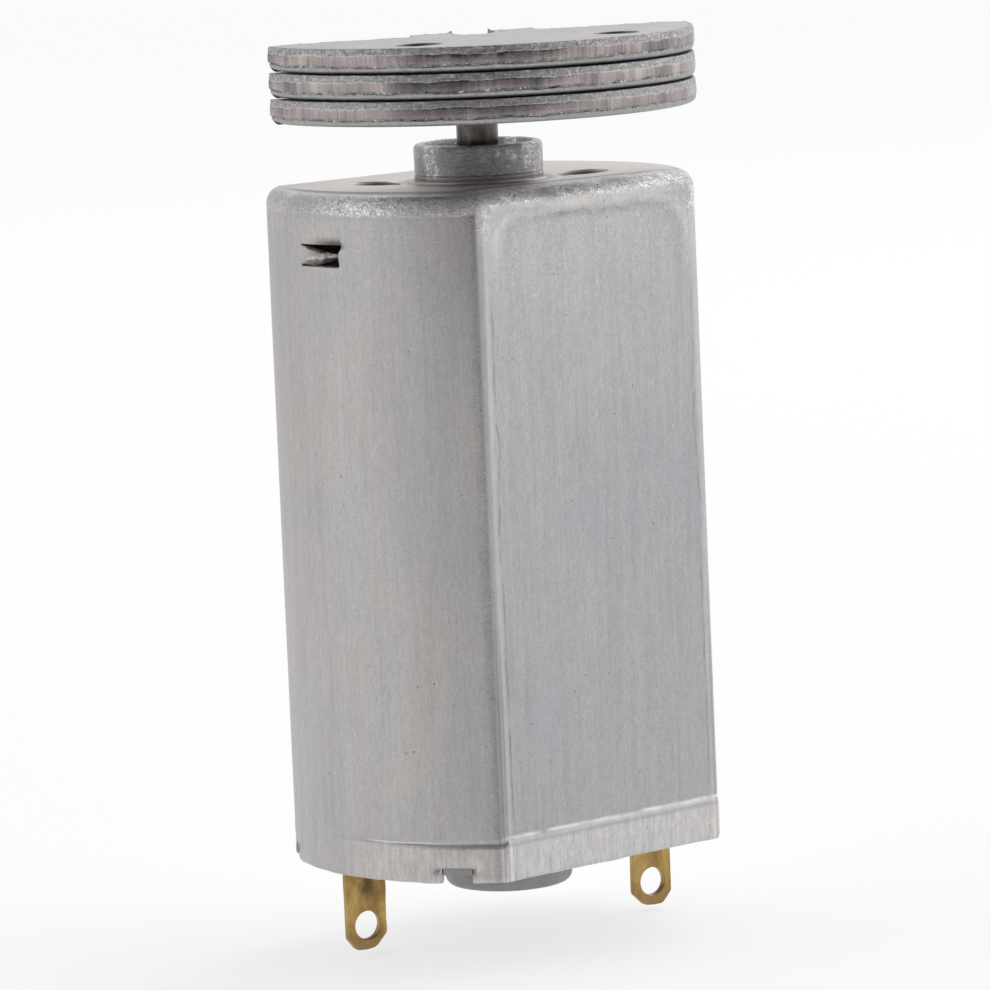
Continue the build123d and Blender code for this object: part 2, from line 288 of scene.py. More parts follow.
def side_detail(x, y, z, flat):
    """Outward displacement of the can's side."""
    # broad waviness of the drawn sheet
    out = 0.010 * fractal(x * 0.22, y * 0.22, z * 0.16, 3, octaves=2)
    # raised frame round each flat's border, strongest under the front edge
    inward = FLAT_BORDER_X - np.abs(x)
    below = -(z + 0.40)
    waver = (0.16 * noise(x * 0.35, 1.7, z * 0.3, 5)
             + 0.05 * noise(x * 1.6, 2.7, z * 1.6, 6))
    across, down = 0.8 * np.maximum(0, inward - 0.1), np.maximum(below, 0)
    across_left, down_left = np.maximum(0, 2.2 - across), np.maximum(0, 2.2 - down)
    border = np.where((across_left > 0) & (down_left > 0),
                      2.2 - np.sqrt(across_left**2 + down_left**2),
                      np.minimum(across, down))
    fade = 0.15 + 0.85 * smooth(-10.0, -3.0, z)
    shoulder = smooth(1.02, 0.52, border + waver)
    groove = bell((border + waver - 1.02) / 0.20)
    crest = bell((border + waver - 0.42) / 0.22)
    relief = 0.040 * shoulder + 0.018 * crest - 0.014 * groove
    out += flat * fade * relief * smooth(-30.2, -28.5, z)
    # fold line just inside each vertical corner, all the way down
    out += flat * 0.005 * bell((inward - 0.22) / 0.24) * smooth(-30.0, -28.0, z)
    out -= flat * 0.0012 * bell((inward - 0.85) / 0.40) * smooth(-30.0, -28.0, z)
    # faint hollow over the flat
    out -= flat * 0.016 * smooth(1.2, 4.5, border) * smooth(-31, -27, z)
    # the can narrows slightly towards its closed front
    out -= 0.020 * np.clip((z + 30.4) / 30.4, 0, 1)
    # stepped rim that holds the end cap, with a groove above it
    step_z = -30.42 + 0.05 * noise(x * 0.25, y * 0.25, 0, 9) + 0.17 * flat
    seam = np.where(x < -6.9, 0.15 + 0.85 * smooth(-1.2, 1.6, -y), 1.0)
    out += 0.045 * seam * smooth(step_z + 0.16, step_z - 0.10, z)
    out -= seam * (0.030 + 0.02 * flat) * bell((z - step_z - 0.17) / 0.13)
    # the outer lip of the rim thins slightly
    out -= 0.05 * smooth(-31.95, -32.1, z)
    return out


def window_pull(x, y, z):
    """Sheet pulled inwards beside each lanced window."""
    out = np.zeros_like(x)
    for s in (-1, 1):
        along = y * -s
        near = np.sign(x) == s
        # above and below the slits, strongest near the tab's free end
        free_end = (smooth(WIN_HIGH_Y + 0.3, WIN_LOW_Y + 0.3, along)
                    * smooth(WIN_LOW_Y - 0.75, WIN_LOW_Y + 0.15, along))
        above = (0.65 * bell((z - WIN_TOP) / 0.50)
                 + 0.45 * np.exp(-np.maximum(0, z - WIN_TOP) / 0.16))
        above = above * smooth(WIN_TOP - 0.42, WIN_TOP - 0.04, z)
        under = bell((z - WIN_BOTTOM) / 0.30) * (z < WIN_BOTTOM + 0.3)
        root = (bell((along - WIN_HIGH_Y - 0.05) / 0.35)
                * smooth(WIN_BOTTOM - 0.25, WIN_BOTTOM + 0.15, z)
                * smooth(WIN_TOP + 0.25, WIN_TOP - 0.15, z))
        out -= near * (0.21 * free_end * above + 0.05 * free_end * under + 0.07 * root)
    return out


def notch_marks(x, y, z):
    """Stake marks beside each rim notch."""
    out = np.zeros_like(x)
    for turn in NOTCH_TURNS:
        cos_turn, sin_turn = math.cos(math.radians(turn)), math.sin(math.radians(turn))
        sideways = -x * sin_turn + y * cos_turn
        near = x * cos_turn + y * sin_turn > 8.5
        for s in (-1, 1):
            out -= near * 0.16 * bell((sideways - s * 0.86) / 0.17, (z + 31.42) / 0.20)
        out -= near * 0.05 * bell(sideways / 0.8, (z + 31.35) / 0.25)
    return out


# x, y, z, width, height, depth
DENTS = [
    (-9.0, -4.8, -28.3, 0.42, 0.06, 0.030), (-8.3, -5.9, -21.5, 0.10, 0.5, 0.012),
    (2.2, -7.6, -13.2, 0.06, 0.55, 0.016), (-3.4, -7.6, -6.4, 0.35, 0.3, 0.010),
    (5.2, -7.6, -23.0, 0.4, 0.5, 0.010), (-1.0, 7.6, -17.0, 0.4, 0.3, 0.012),
    (9.8, 2.6, -12.0, 0.3, 0.3, 0.012), (3.0, 7.6, -24.0, 0.08, 0.8, 0.014),
]


def dents(x, y, z):
    out = np.zeros_like(x)
    for mark_x, mark_y, mark_z, width, height, depth in DENTS:
        spread = ((x - mark_x) ** 2 + (y - mark_y) ** 2) / width**2
        out -= depth * np.exp(-(spread + ((z - mark_z) / height) ** 2))
    return out


# ---------------------------------------------------------------------------
# can: rings from the rim over the front and back down the inside
# ---------------------------------------------------------------------------
def side_levels():
    """Rings of the outer side, and the displacement of the last one."""
    stations = np.concatenate([
        np.linspace(-CAN_LENGTH, -30.85, 11)[:-1], np.linspace(-30.85, -29.9, 20)[:-1],
        np.linspace(-29.9, -4.0, 150)[:-1], np.linspace(-4.0, -ROUND_EDGE, 45)])
    levels = []
    for z in stations:
        corner = 0.34 + 0.16 * float(smooth(-6.0, -1.0, z))
        xy, normals, flat = outline(CAN_R, CAN_HALF_FLAT, corner)
        x, y = xy[:, 0], xy[:, 1]
        height = z
        if z < -31.9:
            height = z + 0.03 * noise(x * 1.1, y * 1.1, 0, 21) * smooth(-31.9, -32.1, z)
        edge_gap = FLAT_EDGE - ROUND_EDGE
        height = height + smooth(-2.3, -ROUND_EDGE, z) * edge_gap * (1 - flat)
        out = (side_detail(x, y, height, flat) + window_pull(x, y, height)
               + notch_marks(x, y, height) + dents(x, y, height))
        levels.append(level_at(xy + normals * out[:, None], height))
    return levels, out


def front_edge_levels(side_out):
    levels, steps = [], 18
    for k in range(1, steps + 1):
        t = math.pi / 2 * k / steps
        xy, normals, flat = outline(CAN_R - ROUND_EDGE * (1 - math.cos(t)),
                                    CAN_HALF_FLAT - FLAT_EDGE * (1 - math.cos(t)),
                                    0.50 + 0.12 * k / steps)
        x, y = xy[:, 0], xy[:, 1]
        edge = ROUND_EDGE + (FLAT_EDGE - ROUND_EDGE) * flat
        z = FACE_Z - edge * (1 - math.sin(t))
        coarse = 0.012 * math.sin(math.pi * (k / steps)) + 0.004
        fine = 0.0075 * math.sin(math.pi * ((k + 3) / (steps + 3)))
        out = coarse * fractal(x * 1.3, y * 1.3, z * 1.6, 31)
        out = out + fine * fractal(x * 3.4, y * 3.4, z * 4.4, 33, octaves=2)
        # carries on from the side and settles to a constant at the face
        out = (out * math.sin(t) ** 0.5 + side_out * math.cos(t) ** 2
               - 0.020 * math.sin(t) ** 2)
        levels.append(level_at(xy + normals * out[:, None] * math.cos(t),
                               z + (out + 0.020) * math.sin(t) - 0.004))
    return levels


def face_levels(start, foot):
    """Front face, morphing from the outline to the circle round the boss."""
    levels, steps = [], 44
    for k in range(1, steps + 1):
        u = k / steps
        xy = start * (1 - u) + foot * u
        x, y = xy[:, 0], xy[:, 1]
        r = np.hypot(x, y)
        z = -0.004 + 0.010 * fractal(x * 0.5, y * 0.5, 0.3, 41, octaves=2) * math.sin(math.pi * u)
        z = z - 0.035 * bell((r - 4.05) / 0.16) - 0.018 * smooth(4.1, 3.8, r)
        inward = np.minimum(CAN_R - ROUND_EDGE - r, CAN_HALF_FLAT - FLAT_EDGE - np.abs(y))
        z = (z - 0.055 * np.clip(1 - inward / 1.9, 0, 1) ** 2 + 0.030
             + (FACE_Z + 0.025) * smooth(3.5, 6.5, r))
        levels.append(level_at(xy, z))
    return levels


def boss_levels(turns):
    """Foot, seam, wall, rounded edge and bore of the front boss."""
    foot_z = -0.022
    profile = [
        (3.27, foot_z), (3.18, foot_z + 0.02), (3.115, foot_z + 0.07), (3.092, foot_z + 0.14),
        (3.088, 0.22), (3.088, 0.33), (3.086, 0.352), (3.045, 0.366), (3.035, 0.385),
        (3.045, 0.402), (3.084, 0.414), (BOSS_R, 0.45)]
    profile += [(BOSS_R, z) for z in np.linspace(0.55, 1.56, 9)]
    profile += [(BOSS_R - BOSS_EDGE + BOSS_EDGE * math.cos(math.radians(a)),
                 1.58 + BOSS_EDGE * math.sin(math.radians(a))) for a in range(10, 91, 10)]
    profile += [(2.78, 1.822), (2.70, 1.815), (2.63, 1.78), (2.60, 1.70), (2.585, 1.60),
                (2.56, 1.50), (2.46, 1.46), (BORE_R, 1.2), (BORE_R, 0.4), (BORE_R, -0.75)]
    cos_turn, sin_turn = np.cos(turns), np.sin(turns)
    levels = []
    for r, z in profile:
        radii = r + 0.006 * noise(cos_turn * 2.5, sin_turn * 2.5, z * 1.5, 51)
        lift = 0.006 * noise(cos_turn * 3, sin_turn * 3, r * 3, 52) if z > 0.5 else 0
        levels.append(level_at(np.stack([radii * cos_turn, radii * sin_turn], 1), z + lift))
    return levels


def inner_levels(foot):
    """Inside of the can, the end cap's seat and the rounded lip of the rim."""
    wall, _, _ = outline(CAN_R - SHEET, CAN_HALF_FLAT - SHEET, 0.45)
    levels = [level_at(foot * (2.46 / BOSS_FOOT_R) * (1 - u) + wall * u, z)
              for u, z in ((0.0, -0.8), (0.5, -0.8), (0.93, -0.82))]
    levels += [level_at(wall, z) for z in (-1.1, -2.0, -3.4, -8.0, -14.0, -20.0, -26.0, -30.35)]
    seat, _, _ = outline(9.75, 7.15, 0.35)
    levels += [level_at(seat, z) for z in (-30.42, -31.2, -31.9)]
    lip, normals, _ = outline(10.0, 7.4, 0.42)
    lip_wave = 0.02 * noise(lip[:, 0] * 1.1, lip[:, 1] * 1.1, 0, 21)
    levels.append(level_at(lip - normals * 0.16, -32.05))
    levels.append(level_at(lip - normals * 0.05, -32.10))
    levels.append(level_at(lip + normals * 0.10, -32.11 + lip_wave))
    return levels


def can_levels():
    levels, side_out = side_levels()
    levels += front_edge_levels(side_out)
    start, _, _ = outline(CAN_R - ROUND_EDGE, CAN_HALF_FLAT - FLAT_EDGE, 0.62)
    turns = np.arctan2(start[:, 1], start[:, 0])
    foot = np.stack([BOSS_FOOT_R * np.cos(turns), BOSS_FOOT_R * np.sin(turns)], 1)
    return levels + face_levels(start, foot) + boss_levels(turns) + inner_levels(foot)


def tab_section(t, run):
    """Tab cross-section as (outward offset, z), from the outer face's top edge round."""
    top = WIN_TOP - 0.02 - 0.52 * run ** 0.85
    bottom = WIN_BOTTOM + 0.015 + 0.26 * float(smooth(0.25, 1.0, run))
    # the torn lower band grows from the corner of the root
    torn = 0.12 + 0.46 * float(smooth(0.0, 0.22, run)) - 0.16 * run
    torn = min(float(torn), (top - bottom) - 0.02)
    torn_z = bottom + torn
    thick = 0.50 - 0.08 * t
    lean = 0.22 * run                   # the top edge leans further in
    section = []
    for q in np.linspace(0, 1, 7):      # smooth outer face, top down
        section.append((-lean * (1 - q) ** 1.2 - (0.04 if q == 0 else 0),
                        top - 0.05 + (torn_z - top + 0.05) * q))
    for q in np.linspace(0, 1, 10)[1:]:
        section.append((0.035 * math.sin(math.pi * min(1, q * 1.3)) * run - 0.30 * q ** 2.2,
                        torn_z - torn * q))
    return section + [(-thick, bottom), (-thick, (top + bottom) / 2),
                      (-thick - lean * 0.6, top - 0.02), (-0.12 - lean, top)]


def tab_object(s):
    """Lanced strip rooted at one end of its window and bent inwards."""
    steps, length = 46, 2.75
    x, y = -9.965, WIN_HIGH_Y + 0.34
    points = []
    for i in range(steps + 1):
        t = i / steps
        along = length * t
        bend = math.radians(-8 + 40 * float(smooth(0.08, 0.75, t)))
        if i:
            x += math.sin(bend) * length / steps
            y -= math.cos(bend) * length / steps
        run = max(0.0, t - 0.125) / 0.875
        section = tab_section(t, run)
        for j, (out, z) in enumerate(section):
            rough_out = rough_z = 0.0
            if 6 <= j <= 15 and run > 0:    # torn band
                grow = float(smooth(0.0, 0.08, run))
                rough_out = grow * 0.085 * float(fractal(along * 5.5, z * 6.5, 1.3, 71))
                rough_z = grow * 0.03 * float(fractal(along * 5.0, z * 5.0, 7.3, 72, octaves=2))
            if j in (0, len(section) - 1):  # top edge
                ragged = float(fractal(along * 4.0, 0.0, 3.0, 73, octaves=2))
                rough_z += 0.02 * ragged * min(1, run * 8)
            points.append((x - math.cos(bend) * (out + rough_out),
                           y - math.sin(bend) * (out + rough_out), z + rough_z))
    count = len(section)
    faces = []
    for i in range(steps):
        faces += band(i * count, (i + 1) * count, count)
    faces.append(tuple(range(count)))
    faces.append(tuple(reversed(range(steps * count, (steps + 1) * count))))
    points = np.array(points)
    points[:, :2] *= -s
    return make_object("tab", points, faces)


def build_can():
    can = make_object("motor_can", *closed_grid(can_levels()))
    for s in (-1, 1):
        boolean(can, box_cutter(
            (s * 9.7, (WIN_LOW_Y + WIN_HIGH_Y) / 2 * -s, (WIN_TOP + WIN_BOTTOM) / 2),
            (2.2, WIN_HIGH_Y - WIN_LOW_Y, WIN_TOP - WIN_BOTTOM), 0, corner=0.14))
    for s in (-1, 1):
        boolean(can, tab_object(s), "UNION")
    for turn in NOTCH_TURNS:
        a = math.radians(turn)
        boolean(can, box_cutter((9.9 * math.cos(a), 9.9 * math.sin(a), -CAN_LENGTH),
                                (2.6, 1.5, 1.44), turn, corner=0.12))
    hole_profile = [(0, -1.6), (1.08, -1.6), (1.08, -0.12), (1.12, -0.05), (1.24, 0.03),
                    (1.34, 0.2), (0, 0.2)]
    for half_turn in (0, 180):
        a = math.radians(FACE_HOLE_TURN + half_turn)
        points, faces = lathe(hole_profile, 64)
        points[:, 0] += FACE_HOLE_R * math.cos(a)
        points[:, 1] += FACE_HOLE_R * math.sin(a)
        boolean(can, make_object("hole_cutter", points, faces))
    shade(can, 34)
    return register(can, "motor_case", "can")


# ---------------------------------------------------------------------------
# stamped sheet parts: flat loops and the slab built from them
# ---------------------------------------------------------------------------
def resample(loop, step):
    loop = np.asarray(loop, float)
    points = []
    for p, q in zip(loop, np.roll(loop, -1, 0)):
        count = max(1, int(round(np.hypot(*(q - p)) / step)))
        points += [p + (q - p) * i / count for i in range(count)]
    return np.array(points)


def round_corners(points, cuts):
    """Polygon with each corner cut back by its cut and bridged by a smooth curve."""
    points = np.asarray(points, float)
    rounded = []
    for i, (p, cut) in enumerate(zip(points, cuts)):
        before, after = points[i - 1], points[(i + 1) % len(points)]
        if cut <= 0:
            rounded.append(p)
            continue
        start = p + (before - p) / np.hypot(*(before - p)) * cut
        end = p + (after - p) / np.hypot(*(after - p)) * cut
        steps = max(3, int(cut / 0.06) + 2)
        for t in np.linspace(0, 1, steps + 1):
            rounded.append((1 - t) ** 2 * start + 2 * t * (1 - t) * p + t * t * end)
    return np.array(rounded)


def loop_normals(loop):
    """Outward normals, whichever way the loop runs."""
    x, y = loop[:, 0], loop[:, 1]
    along = np.roll(loop, -1, 0) - np.roll(loop, 1, 0)
    area = 0.5 * np.sum(x * np.roll(y, -1) - np.roll(x, -1) * y)
    normals = np.stack([along[:, 1], -along[:, 0]], 1)
    normals /= np.maximum(np.hypot(normals[:, 0], normals[:, 1]), 1e-9)[:, None]
    return normals if area > 0 else -normals


def loop_distance(loop):
    """Distance along the loop to each of its points."""
    steps = np.hypot(*(np.roll(loop, -1, 0) - loop).T)
    return np.concatenate([[0], np.cumsum(steps)[:-1]])


def inside(polygon, points):
    x, y = points[:, 0], points[:, 1]
    result = np.zeros(len(points), bool)
    for (ax, ay), (bx, by) in zip(polygon, np.roll(polygon, -1, 0)):
        result ^= ((ay > y) != (by > y)) & (x < (bx - ax) * (y - ay) / (by - ay + 1e-15) + ax)
    return result


def circle(x, y, radius, count):
    t = np.linspace(0, 2 * np.pi, count, endpoint=False)
    return np.stack([x + radius * np.cos(t), y + radius * np.sin(t)], 1)


def rotated(points, turn):
    """Points turned about Z; further columns are kept."""
    x, y = points[:, 0], points[:, 1]
    result = points.copy()
    result[:, 0] = x * math.cos(turn) - y * math.sin(turn)
    result[:, 1] = x * math.sin(turn) + y * math.cos(turn)
    return result


class Slab:
    """A flat stamped part, built as one closed mesh.

    Each vertex carries h (height through the sheet, 0 to 1), s (distance along the
    outline) and rim (1 on the outer edge, 0 on the faces).
    """

    def __init__(self):
        self.points, self.faces, self.values = [], [], []
        self.count = 0

    def ring(self, xy, z, height, along=0.0, rim=1.0):
        """Adds vertices and returns their numbers."""
        self.points.append(level_at(xy, z))
        self.values.append(np.column_stack(
            [np.broadcast_to(float(v) if np.isscalar(v) else v, (len(xy),))
             for v in (height, along, rim)]))
        numbers = list(range(self.count, self.count + len(xy)))
        self.count += len(xy)
        return numbers

    def tube(self, rings):
        for a, b in zip(rings[:-1], rings[1:]):
            self.faces += band(a[0], b[0], len(a))
        return rings

    def dimple(self, rings, centre, z, height):
        """Skins the rings, closes the last onto a point and returns the opening loop."""
        last = self.tube(rings)[-1]
        tip = self.ring(np.array([centre]), z, height, rim=0.0)[0]
        for i in range(len(last)):
            self.faces.append((last[i], last[(i + 1) % len(last)], tip))
        return rings[0]

    def fill(self, outer, holes, height_at, height, spacing):
        """Triangulates a face between loops over a jittered grid of points."""
        loops = [outer] + holes
        placed = np.concatenate(self.points)
        numbers = [i for loop in loops for i in loop]
        border = placed[numbers][:, :2]
        low, high = border.min(0), border.max(0)
        grid_x, grid_y = np.meshgrid(np.arange(low[0], high[0], spacing),
                                     np.arange(low[1], high[1], spacing * 0.866))
        grid_x = grid_x + (np.arange(grid_x.shape[0]) % 2)[:, None] * spacing / 2
        grid = np.stack([grid_x.ravel(), grid_y.ravel()], 1)
        grid = grid + rng.uniform(-0.12, 0.12, grid.shape) * spacing

        def in_face(xy):
            result = inside(placed[outer][:, :2], xy)
            for hole in holes:
                result &= ~inside(placed[hole][:, :2], xy)
            return result

        grid = grid[in_face(grid)]
        # stay clear of the loops
        keep = np.ones(len(grid), bool)
        for k in range(0, len(grid), 2000):
            part = grid[k:k + 2000]
            gap = np.hypot(part[:, None, 0] - border[None, :, 0],
                           part[:, None, 1] - border[None, :, 1]).min(1)
            keep[k:k + 2000] = gap > spacing * 0.6
        grid = grid[keep]
        edges, start = [], 0
        for loop in loops:
            count = len(loop)
            edges += [(start + i, start + (i + 1) % count) for i in range(count)]
            start += count
        result = delaunay_2d_cdt([Vector(p) for p in np.concatenate([border, grid])],
                                 edges, [], 0, 1e-7)
        corners, triangles, origins = result[0], result[2], result[3]
        centres = np.array([np.mean([corners[i][:] for i in t], 0) for t in triangles])
        numbers = numbers + self.ring(grid, height_at(grid[:, 0], grid[:, 1]), height, rim=0.0)
        number_of = {k: numbers[origin[0]] for k, origin in enumerate(origins) if origin}
        for triangle, good in zip(triangles, in_face(centres)):
            if good and all(i in number_of for i in triangle):
                face = [number_of[i] for i in triangle]
                if len(set(face)) == 3:
                    self.faces.append(tuple(face))

    def build(self, name, sharp_degrees, transform=None):
        points = np.concatenate(self.points)
        values = np.concatenate(self.values)
        if transform is not None:
            points = transform(points)
        mesh = bpy.data.meshes.new(name)
        mesh.from_pydata([tuple(p) for p in points * MM], [], self.faces)
        for i, attribute in enumerate(("h", "s", "rim")):
            layer = mesh.attributes.new(attribute, "FLOAT", "POINT")
            layer.data.foreach_set("value", values[:, i].astype(np.float32))
        obj = add_object(name, mesh)
        shade(obj, sharp_degrees)
        return obj


# ---------------------------------------------------------------------------
# eccentric plates
# ---------------------------------------------------------------------------
PLATE_CORNER_V = math.sqrt(PLATE_R**2 - PLATE_EDGE_U**2)

# blanked edge from the bottom face to the top: inset, z
PLATE_PROFILE = [
    (0.42, 0.000), (0.30, 0.010), (0.20, 0.035), (0.12, 0.085), (0.065, 0.15), (0.035, 0.22),
    (0.030, 0.27), (0.050, 0.305), (0.030, 0.335), (0.006, 0.365), (0.0, 0.45), (0.0, 0.55),
    (0.0, 0.65), (0.004, 0.73), (0.008, 0.80), (0.016, 0.86), (0.024, 0.92), (0.032, 0.98),
    (0.040, 1.04), (0.046, 1.09), (0.052, 1.135), (0.060, 1.175), (0.085, 1.20), (0.16, 1.198),
]
# holes: radius, z from the bottom face, or from the top face for the dimple and prick
THROUGH_HOLE = [(1.16, 0.0), (1.10, 0.012), (1.06, 0.06), (1.05, 0.2), (1.05, 0.9),
                (1.07, 1.12), (1.10, 1.2), (1.16, 1.2)]
TOP_DIMPLE = [(1.17, 0.0), (1.10, -0.012), (1.06, -0.05), (1.045, -0.12), (1.04, -0.30),
              (1.0, -0.355), (0.9, -0.372), (0.6, -0.375), (0.3, -0.38)]
BOTTOM_DIMPLE = [(1.10, 0.0), (1.03, -0.02), (1.01, -0.1), (1.0, -0.25), (0.96, -0.30),
                 (0.6, -0.31)]
PRICK = [(0.26, 0.0), (0.20, -0.02), (0.13, -0.09)]
# raised spots along the top plate's straight edge: v, height, width
EDGE_SPOTS = [(3.1, 0.05, 0.28), (-3.2, 0.06, 0.16), (2.4, 0.035, 0.2), (-2.2, 0.04, 0.14),
              (-1.5, 0.03, 0.12), (1.5, 0.035, 0.14)]


def plate_outline():
    arc_end = math.atan2(PLATE_CORNER_V, PLATE_EDGE_U)
    arc = [(PLATE_R * math.cos(a), PLATE_R * math.sin(a))
           for a in np.linspace(-arc_end, arc_end, 420)]
    notch_end = math.pi - math.acos(-LUG_U / SEAT_R)
    notch = [(SEAT_R * math.cos(a), SEAT_R * math.sin(a))
             for a in np.linspace(notch_end, -notch_end, 60)]
    points = arc + [(PLATE_EDGE_U, LUG_V + 0.1), (LUG_U, LUG_V - 0.25)] + notch
    points += [(LUG_U, -LUG_V + 0.25), (PLATE_EDGE_U, -LUG_V - 0.1)]
    cuts = [0.0] * len(arc) + [0.45, 0.5] + [0.0] * len(notch) + [0.5, 0.45]
    loop = resample(round_corners(points, cuts), 0.085)
    # soften the two outer corners
    for _ in range(3):
        softened = (np.roll(loop, 1, 0) + loop + np.roll(loop, -1, 0)) / 3
        near = (np.abs(loop[:, 1]) > 9.6) & (loop[:, 0] < 1.5)
        loop[near] = softened[near]
    return loop


def plate_top(u, v, level, seed):
    """Height of the top face above flat."""
    r = np.hypot(u, v)
    z = 0.012 * fractal(u * 0.45, v * 0.45, level * 3.1, seed, octaves=2)
    z = z - 0.035 * smooth(8.9, 10.4, r)
    z = z + smooth(1.9, 0.9, u) * 0.02 * (0.5 + 0.5 * noise(u * 1.0, v * 2.6, 0, seed + 4))
    if level == 2:
        for spot_v, height in ((0.86, 0.09), (-0.97, 0.11)):
            z = z + height * bell((u + 0.44) / 0.16, (v - spot_v) / 0.10)
        for spot_v, height, width in EDGE_SPOTS:
            z = z + height * bell((u + 0.30) / 0.24, (v - spot_v) / width)
        z = z + (0.022 * smooth(1.6, 1.0, u)
                 * np.maximum(0, noise(u * 1.5, v * 3.4, 2.2, seed + 19)))
        # crescent pressed down in front of the shaft when the stack is staked
        z = z - 0.10 * bell((r - 1.25) / 0.28) * smooth(-0.2, 0.7, u)
    return z


def plate_rim(slab, level, seed, base_z):
    """Rings of the blanked edge: rolled bottom, smooth land, torn upper zone with a burr."""
    loop = plate_outline()
    normals = loop_normals(loop)
    s = loop_distance(loop)
    u, v = loop[:, 0], loop[:, 1]
    in_notch = np.hypot(u, v) < 1.02
    # the sheet draws down further at the two sharp outer corners
    corner = bell(np.hypot(u - PLATE_EDGE_U, np.abs(v) - PLATE_CORNER_V))
    rings = []
    for k, (inset_by, z) in enumerate(PLATE_PROFILE):
        inset = np.full(len(loop), inset_by)
        torn = smooth(0.80, 0.88, z + 0.10 * noise(s * 0.9, 0.7, 0, seed + 15)
                      + 0.05 * noise(s * 3.3, 0.7, 0, seed + 16))
        if k < len(PLATE_PROFILE) - 1:
            inset = inset + torn * (0.012 + 0.034 * fractal(s * 3.6, z * 6.0, 0, seed + 5))
            inset = inset + (torn * 0.05 * np.maximum(0, noise(s * 0.9, z * 1.5, 0, seed + 6))
                             * smooth(0.95, 1.15, z))
        if 5 <= k <= 9:
            inset = (inset + 0.030 * np.abs(noise(s * 4.5, k * 0.9, 0, seed + 7))
                     + 0.015 * np.abs(noise(s * 9.5, k * 1.9, 0, seed + 17)))
        inset = inset + 0.012 * noise(s * 0.35, 0.5, 0, seed + 8)
        if k <= 9:
            inset = inset * (1 + 0.8 * corner)
        height = np.full(len(loop), base_z + z)
        if k <= 12:
            height = height + z * 0.35 * corner * smooth(0.6, 0.1, z)
        if 6 <= k <= 9:
            height = (height + 0.035 * noise(s * 1.1, 0.0, 0, seed + 9)
                      + 0.02 * noise(s * 4.0, 0.0, 0, seed + 10))
        if 12 <= k <= 16:
            height = height + 0.05 * fractal(s * 1.0, 2.0, 0, seed + 11)
        if 20 <= k <= 21:
            burr = np.maximum(-0.3, fractal(s * 3.0, 4.0, 0, seed + 12))
            height = height + 0.034 * burr + 0.012
        inset = np.where(in_notch, np.minimum(inset, 0.02 + 0.02 * abs(z - 0.6)), inset)
        xy = loop - normals * inset[:, None]
        if z > 1.1:
            height = height + plate_top(xy[:, 0], xy[:, 1], level, seed)
        rings.append(slab.ring(xy, height, z / PLATE_THICK, s))
    return slab.tube(rings)


def build_plate(name, level, through):
    base_z = PLATE_Z + PLATE_PITCH * level
    top_z = base_z + PLATE_THICK
    seed = 100 + 13 * level
    slab = Slab()

    def top(u, v):
        return plate_top(u, v, level, seed)

    rim = plate_rim(slab, level, seed, base_z)
    top_loops, bottom_loops = [], []
    hole_turn = math.radians(PLATE_HOLE_TURN)
    for side in (-1, 1):
        centre = (PLATE_HOLE_R * math.cos(side * hole_turn),
                  PLATE_HOLE_R * math.sin(side * hole_turn))
        rings = []
        if through:
            for r, z in THROUGH_HOLE:
                xy = circle(*centre, r, 56)
                lift = top(xy[:, 0], xy[:, 1]) if z > 1.1 else 0
                rings.append(slab.ring(xy, base_z + z + lift, z / PLATE_THICK, rim=0.5))
            slab.tube(rings)
            bottom_loops.append(rings[0])
            top_loops.append(rings[-1])
            continue
        for r, z in TOP_DIMPLE:
            xy = circle(*centre, r, 56)
            x, y = xy[:, 0] * 4, xy[:, 1] * 4
            xy = xy + 0.006 * np.stack([noise(x, y, z * 5, seed),
                                        noise(y, x, z * 5, seed + 1)], 1)
            lift = top(xy[:, 0], xy[:, 1]) if z > -0.1 else 0
            rings.append(slab.ring(xy, top_z + z + lift, 1.0, rim=0.0))
        top_loops.append(slab.dimple(rings, centre, top_z - 0.38, 1.0))
        rings = [slab.ring(circle(*centre, r, 56), base_z + z, 0.0, rim=0.0)
                 for r, z in BOTTOM_DIMPLE]
        bottom_loops.append(slab.dimple(rings, centre, base_z - 0.31, 0.0))
    if level == 2:
        # small prick mark, placed in the motor's own axes
        mark_x, mark_y = 1.37, -5.47
        a = math.atan2(mark_y, mark_x) - MASS_TURN
        distance = math.hypot(mark_x, mark_y)
        centre = (distance * math.cos(a), distance * math.sin(a))
        rings = []
        for r, z in PRICK:
            xy = circle(*centre, r, 20)
            rings.append(slab.ring(xy, top_z + z + top(xy[:, 0], xy[:, 1]), 1.0, rim=0.0))
        top_loops.append(slab.dimple(rings, centre, top_z - 0.12, 1.0))
    slab.fill(rim[-1], top_loops, lambda x, y: top_z + top(x, y), 1.0, 0.20)
    slab.fill(rim[0], bottom_loops, lambda x, y: base_z, 0.0, 0.6)
    plate = slab.build(name, 34, lambda points: rotated(points, MASS_TURN))
    return register(plate, "rotor", "eccentric_plate_" + name.split("_")[-1])


# ---------------------------------------------------------------------------
# brass terminal tags
# ---------------------------------------------------------------------------
TAG_HALF = TAG_WIDTH / 2
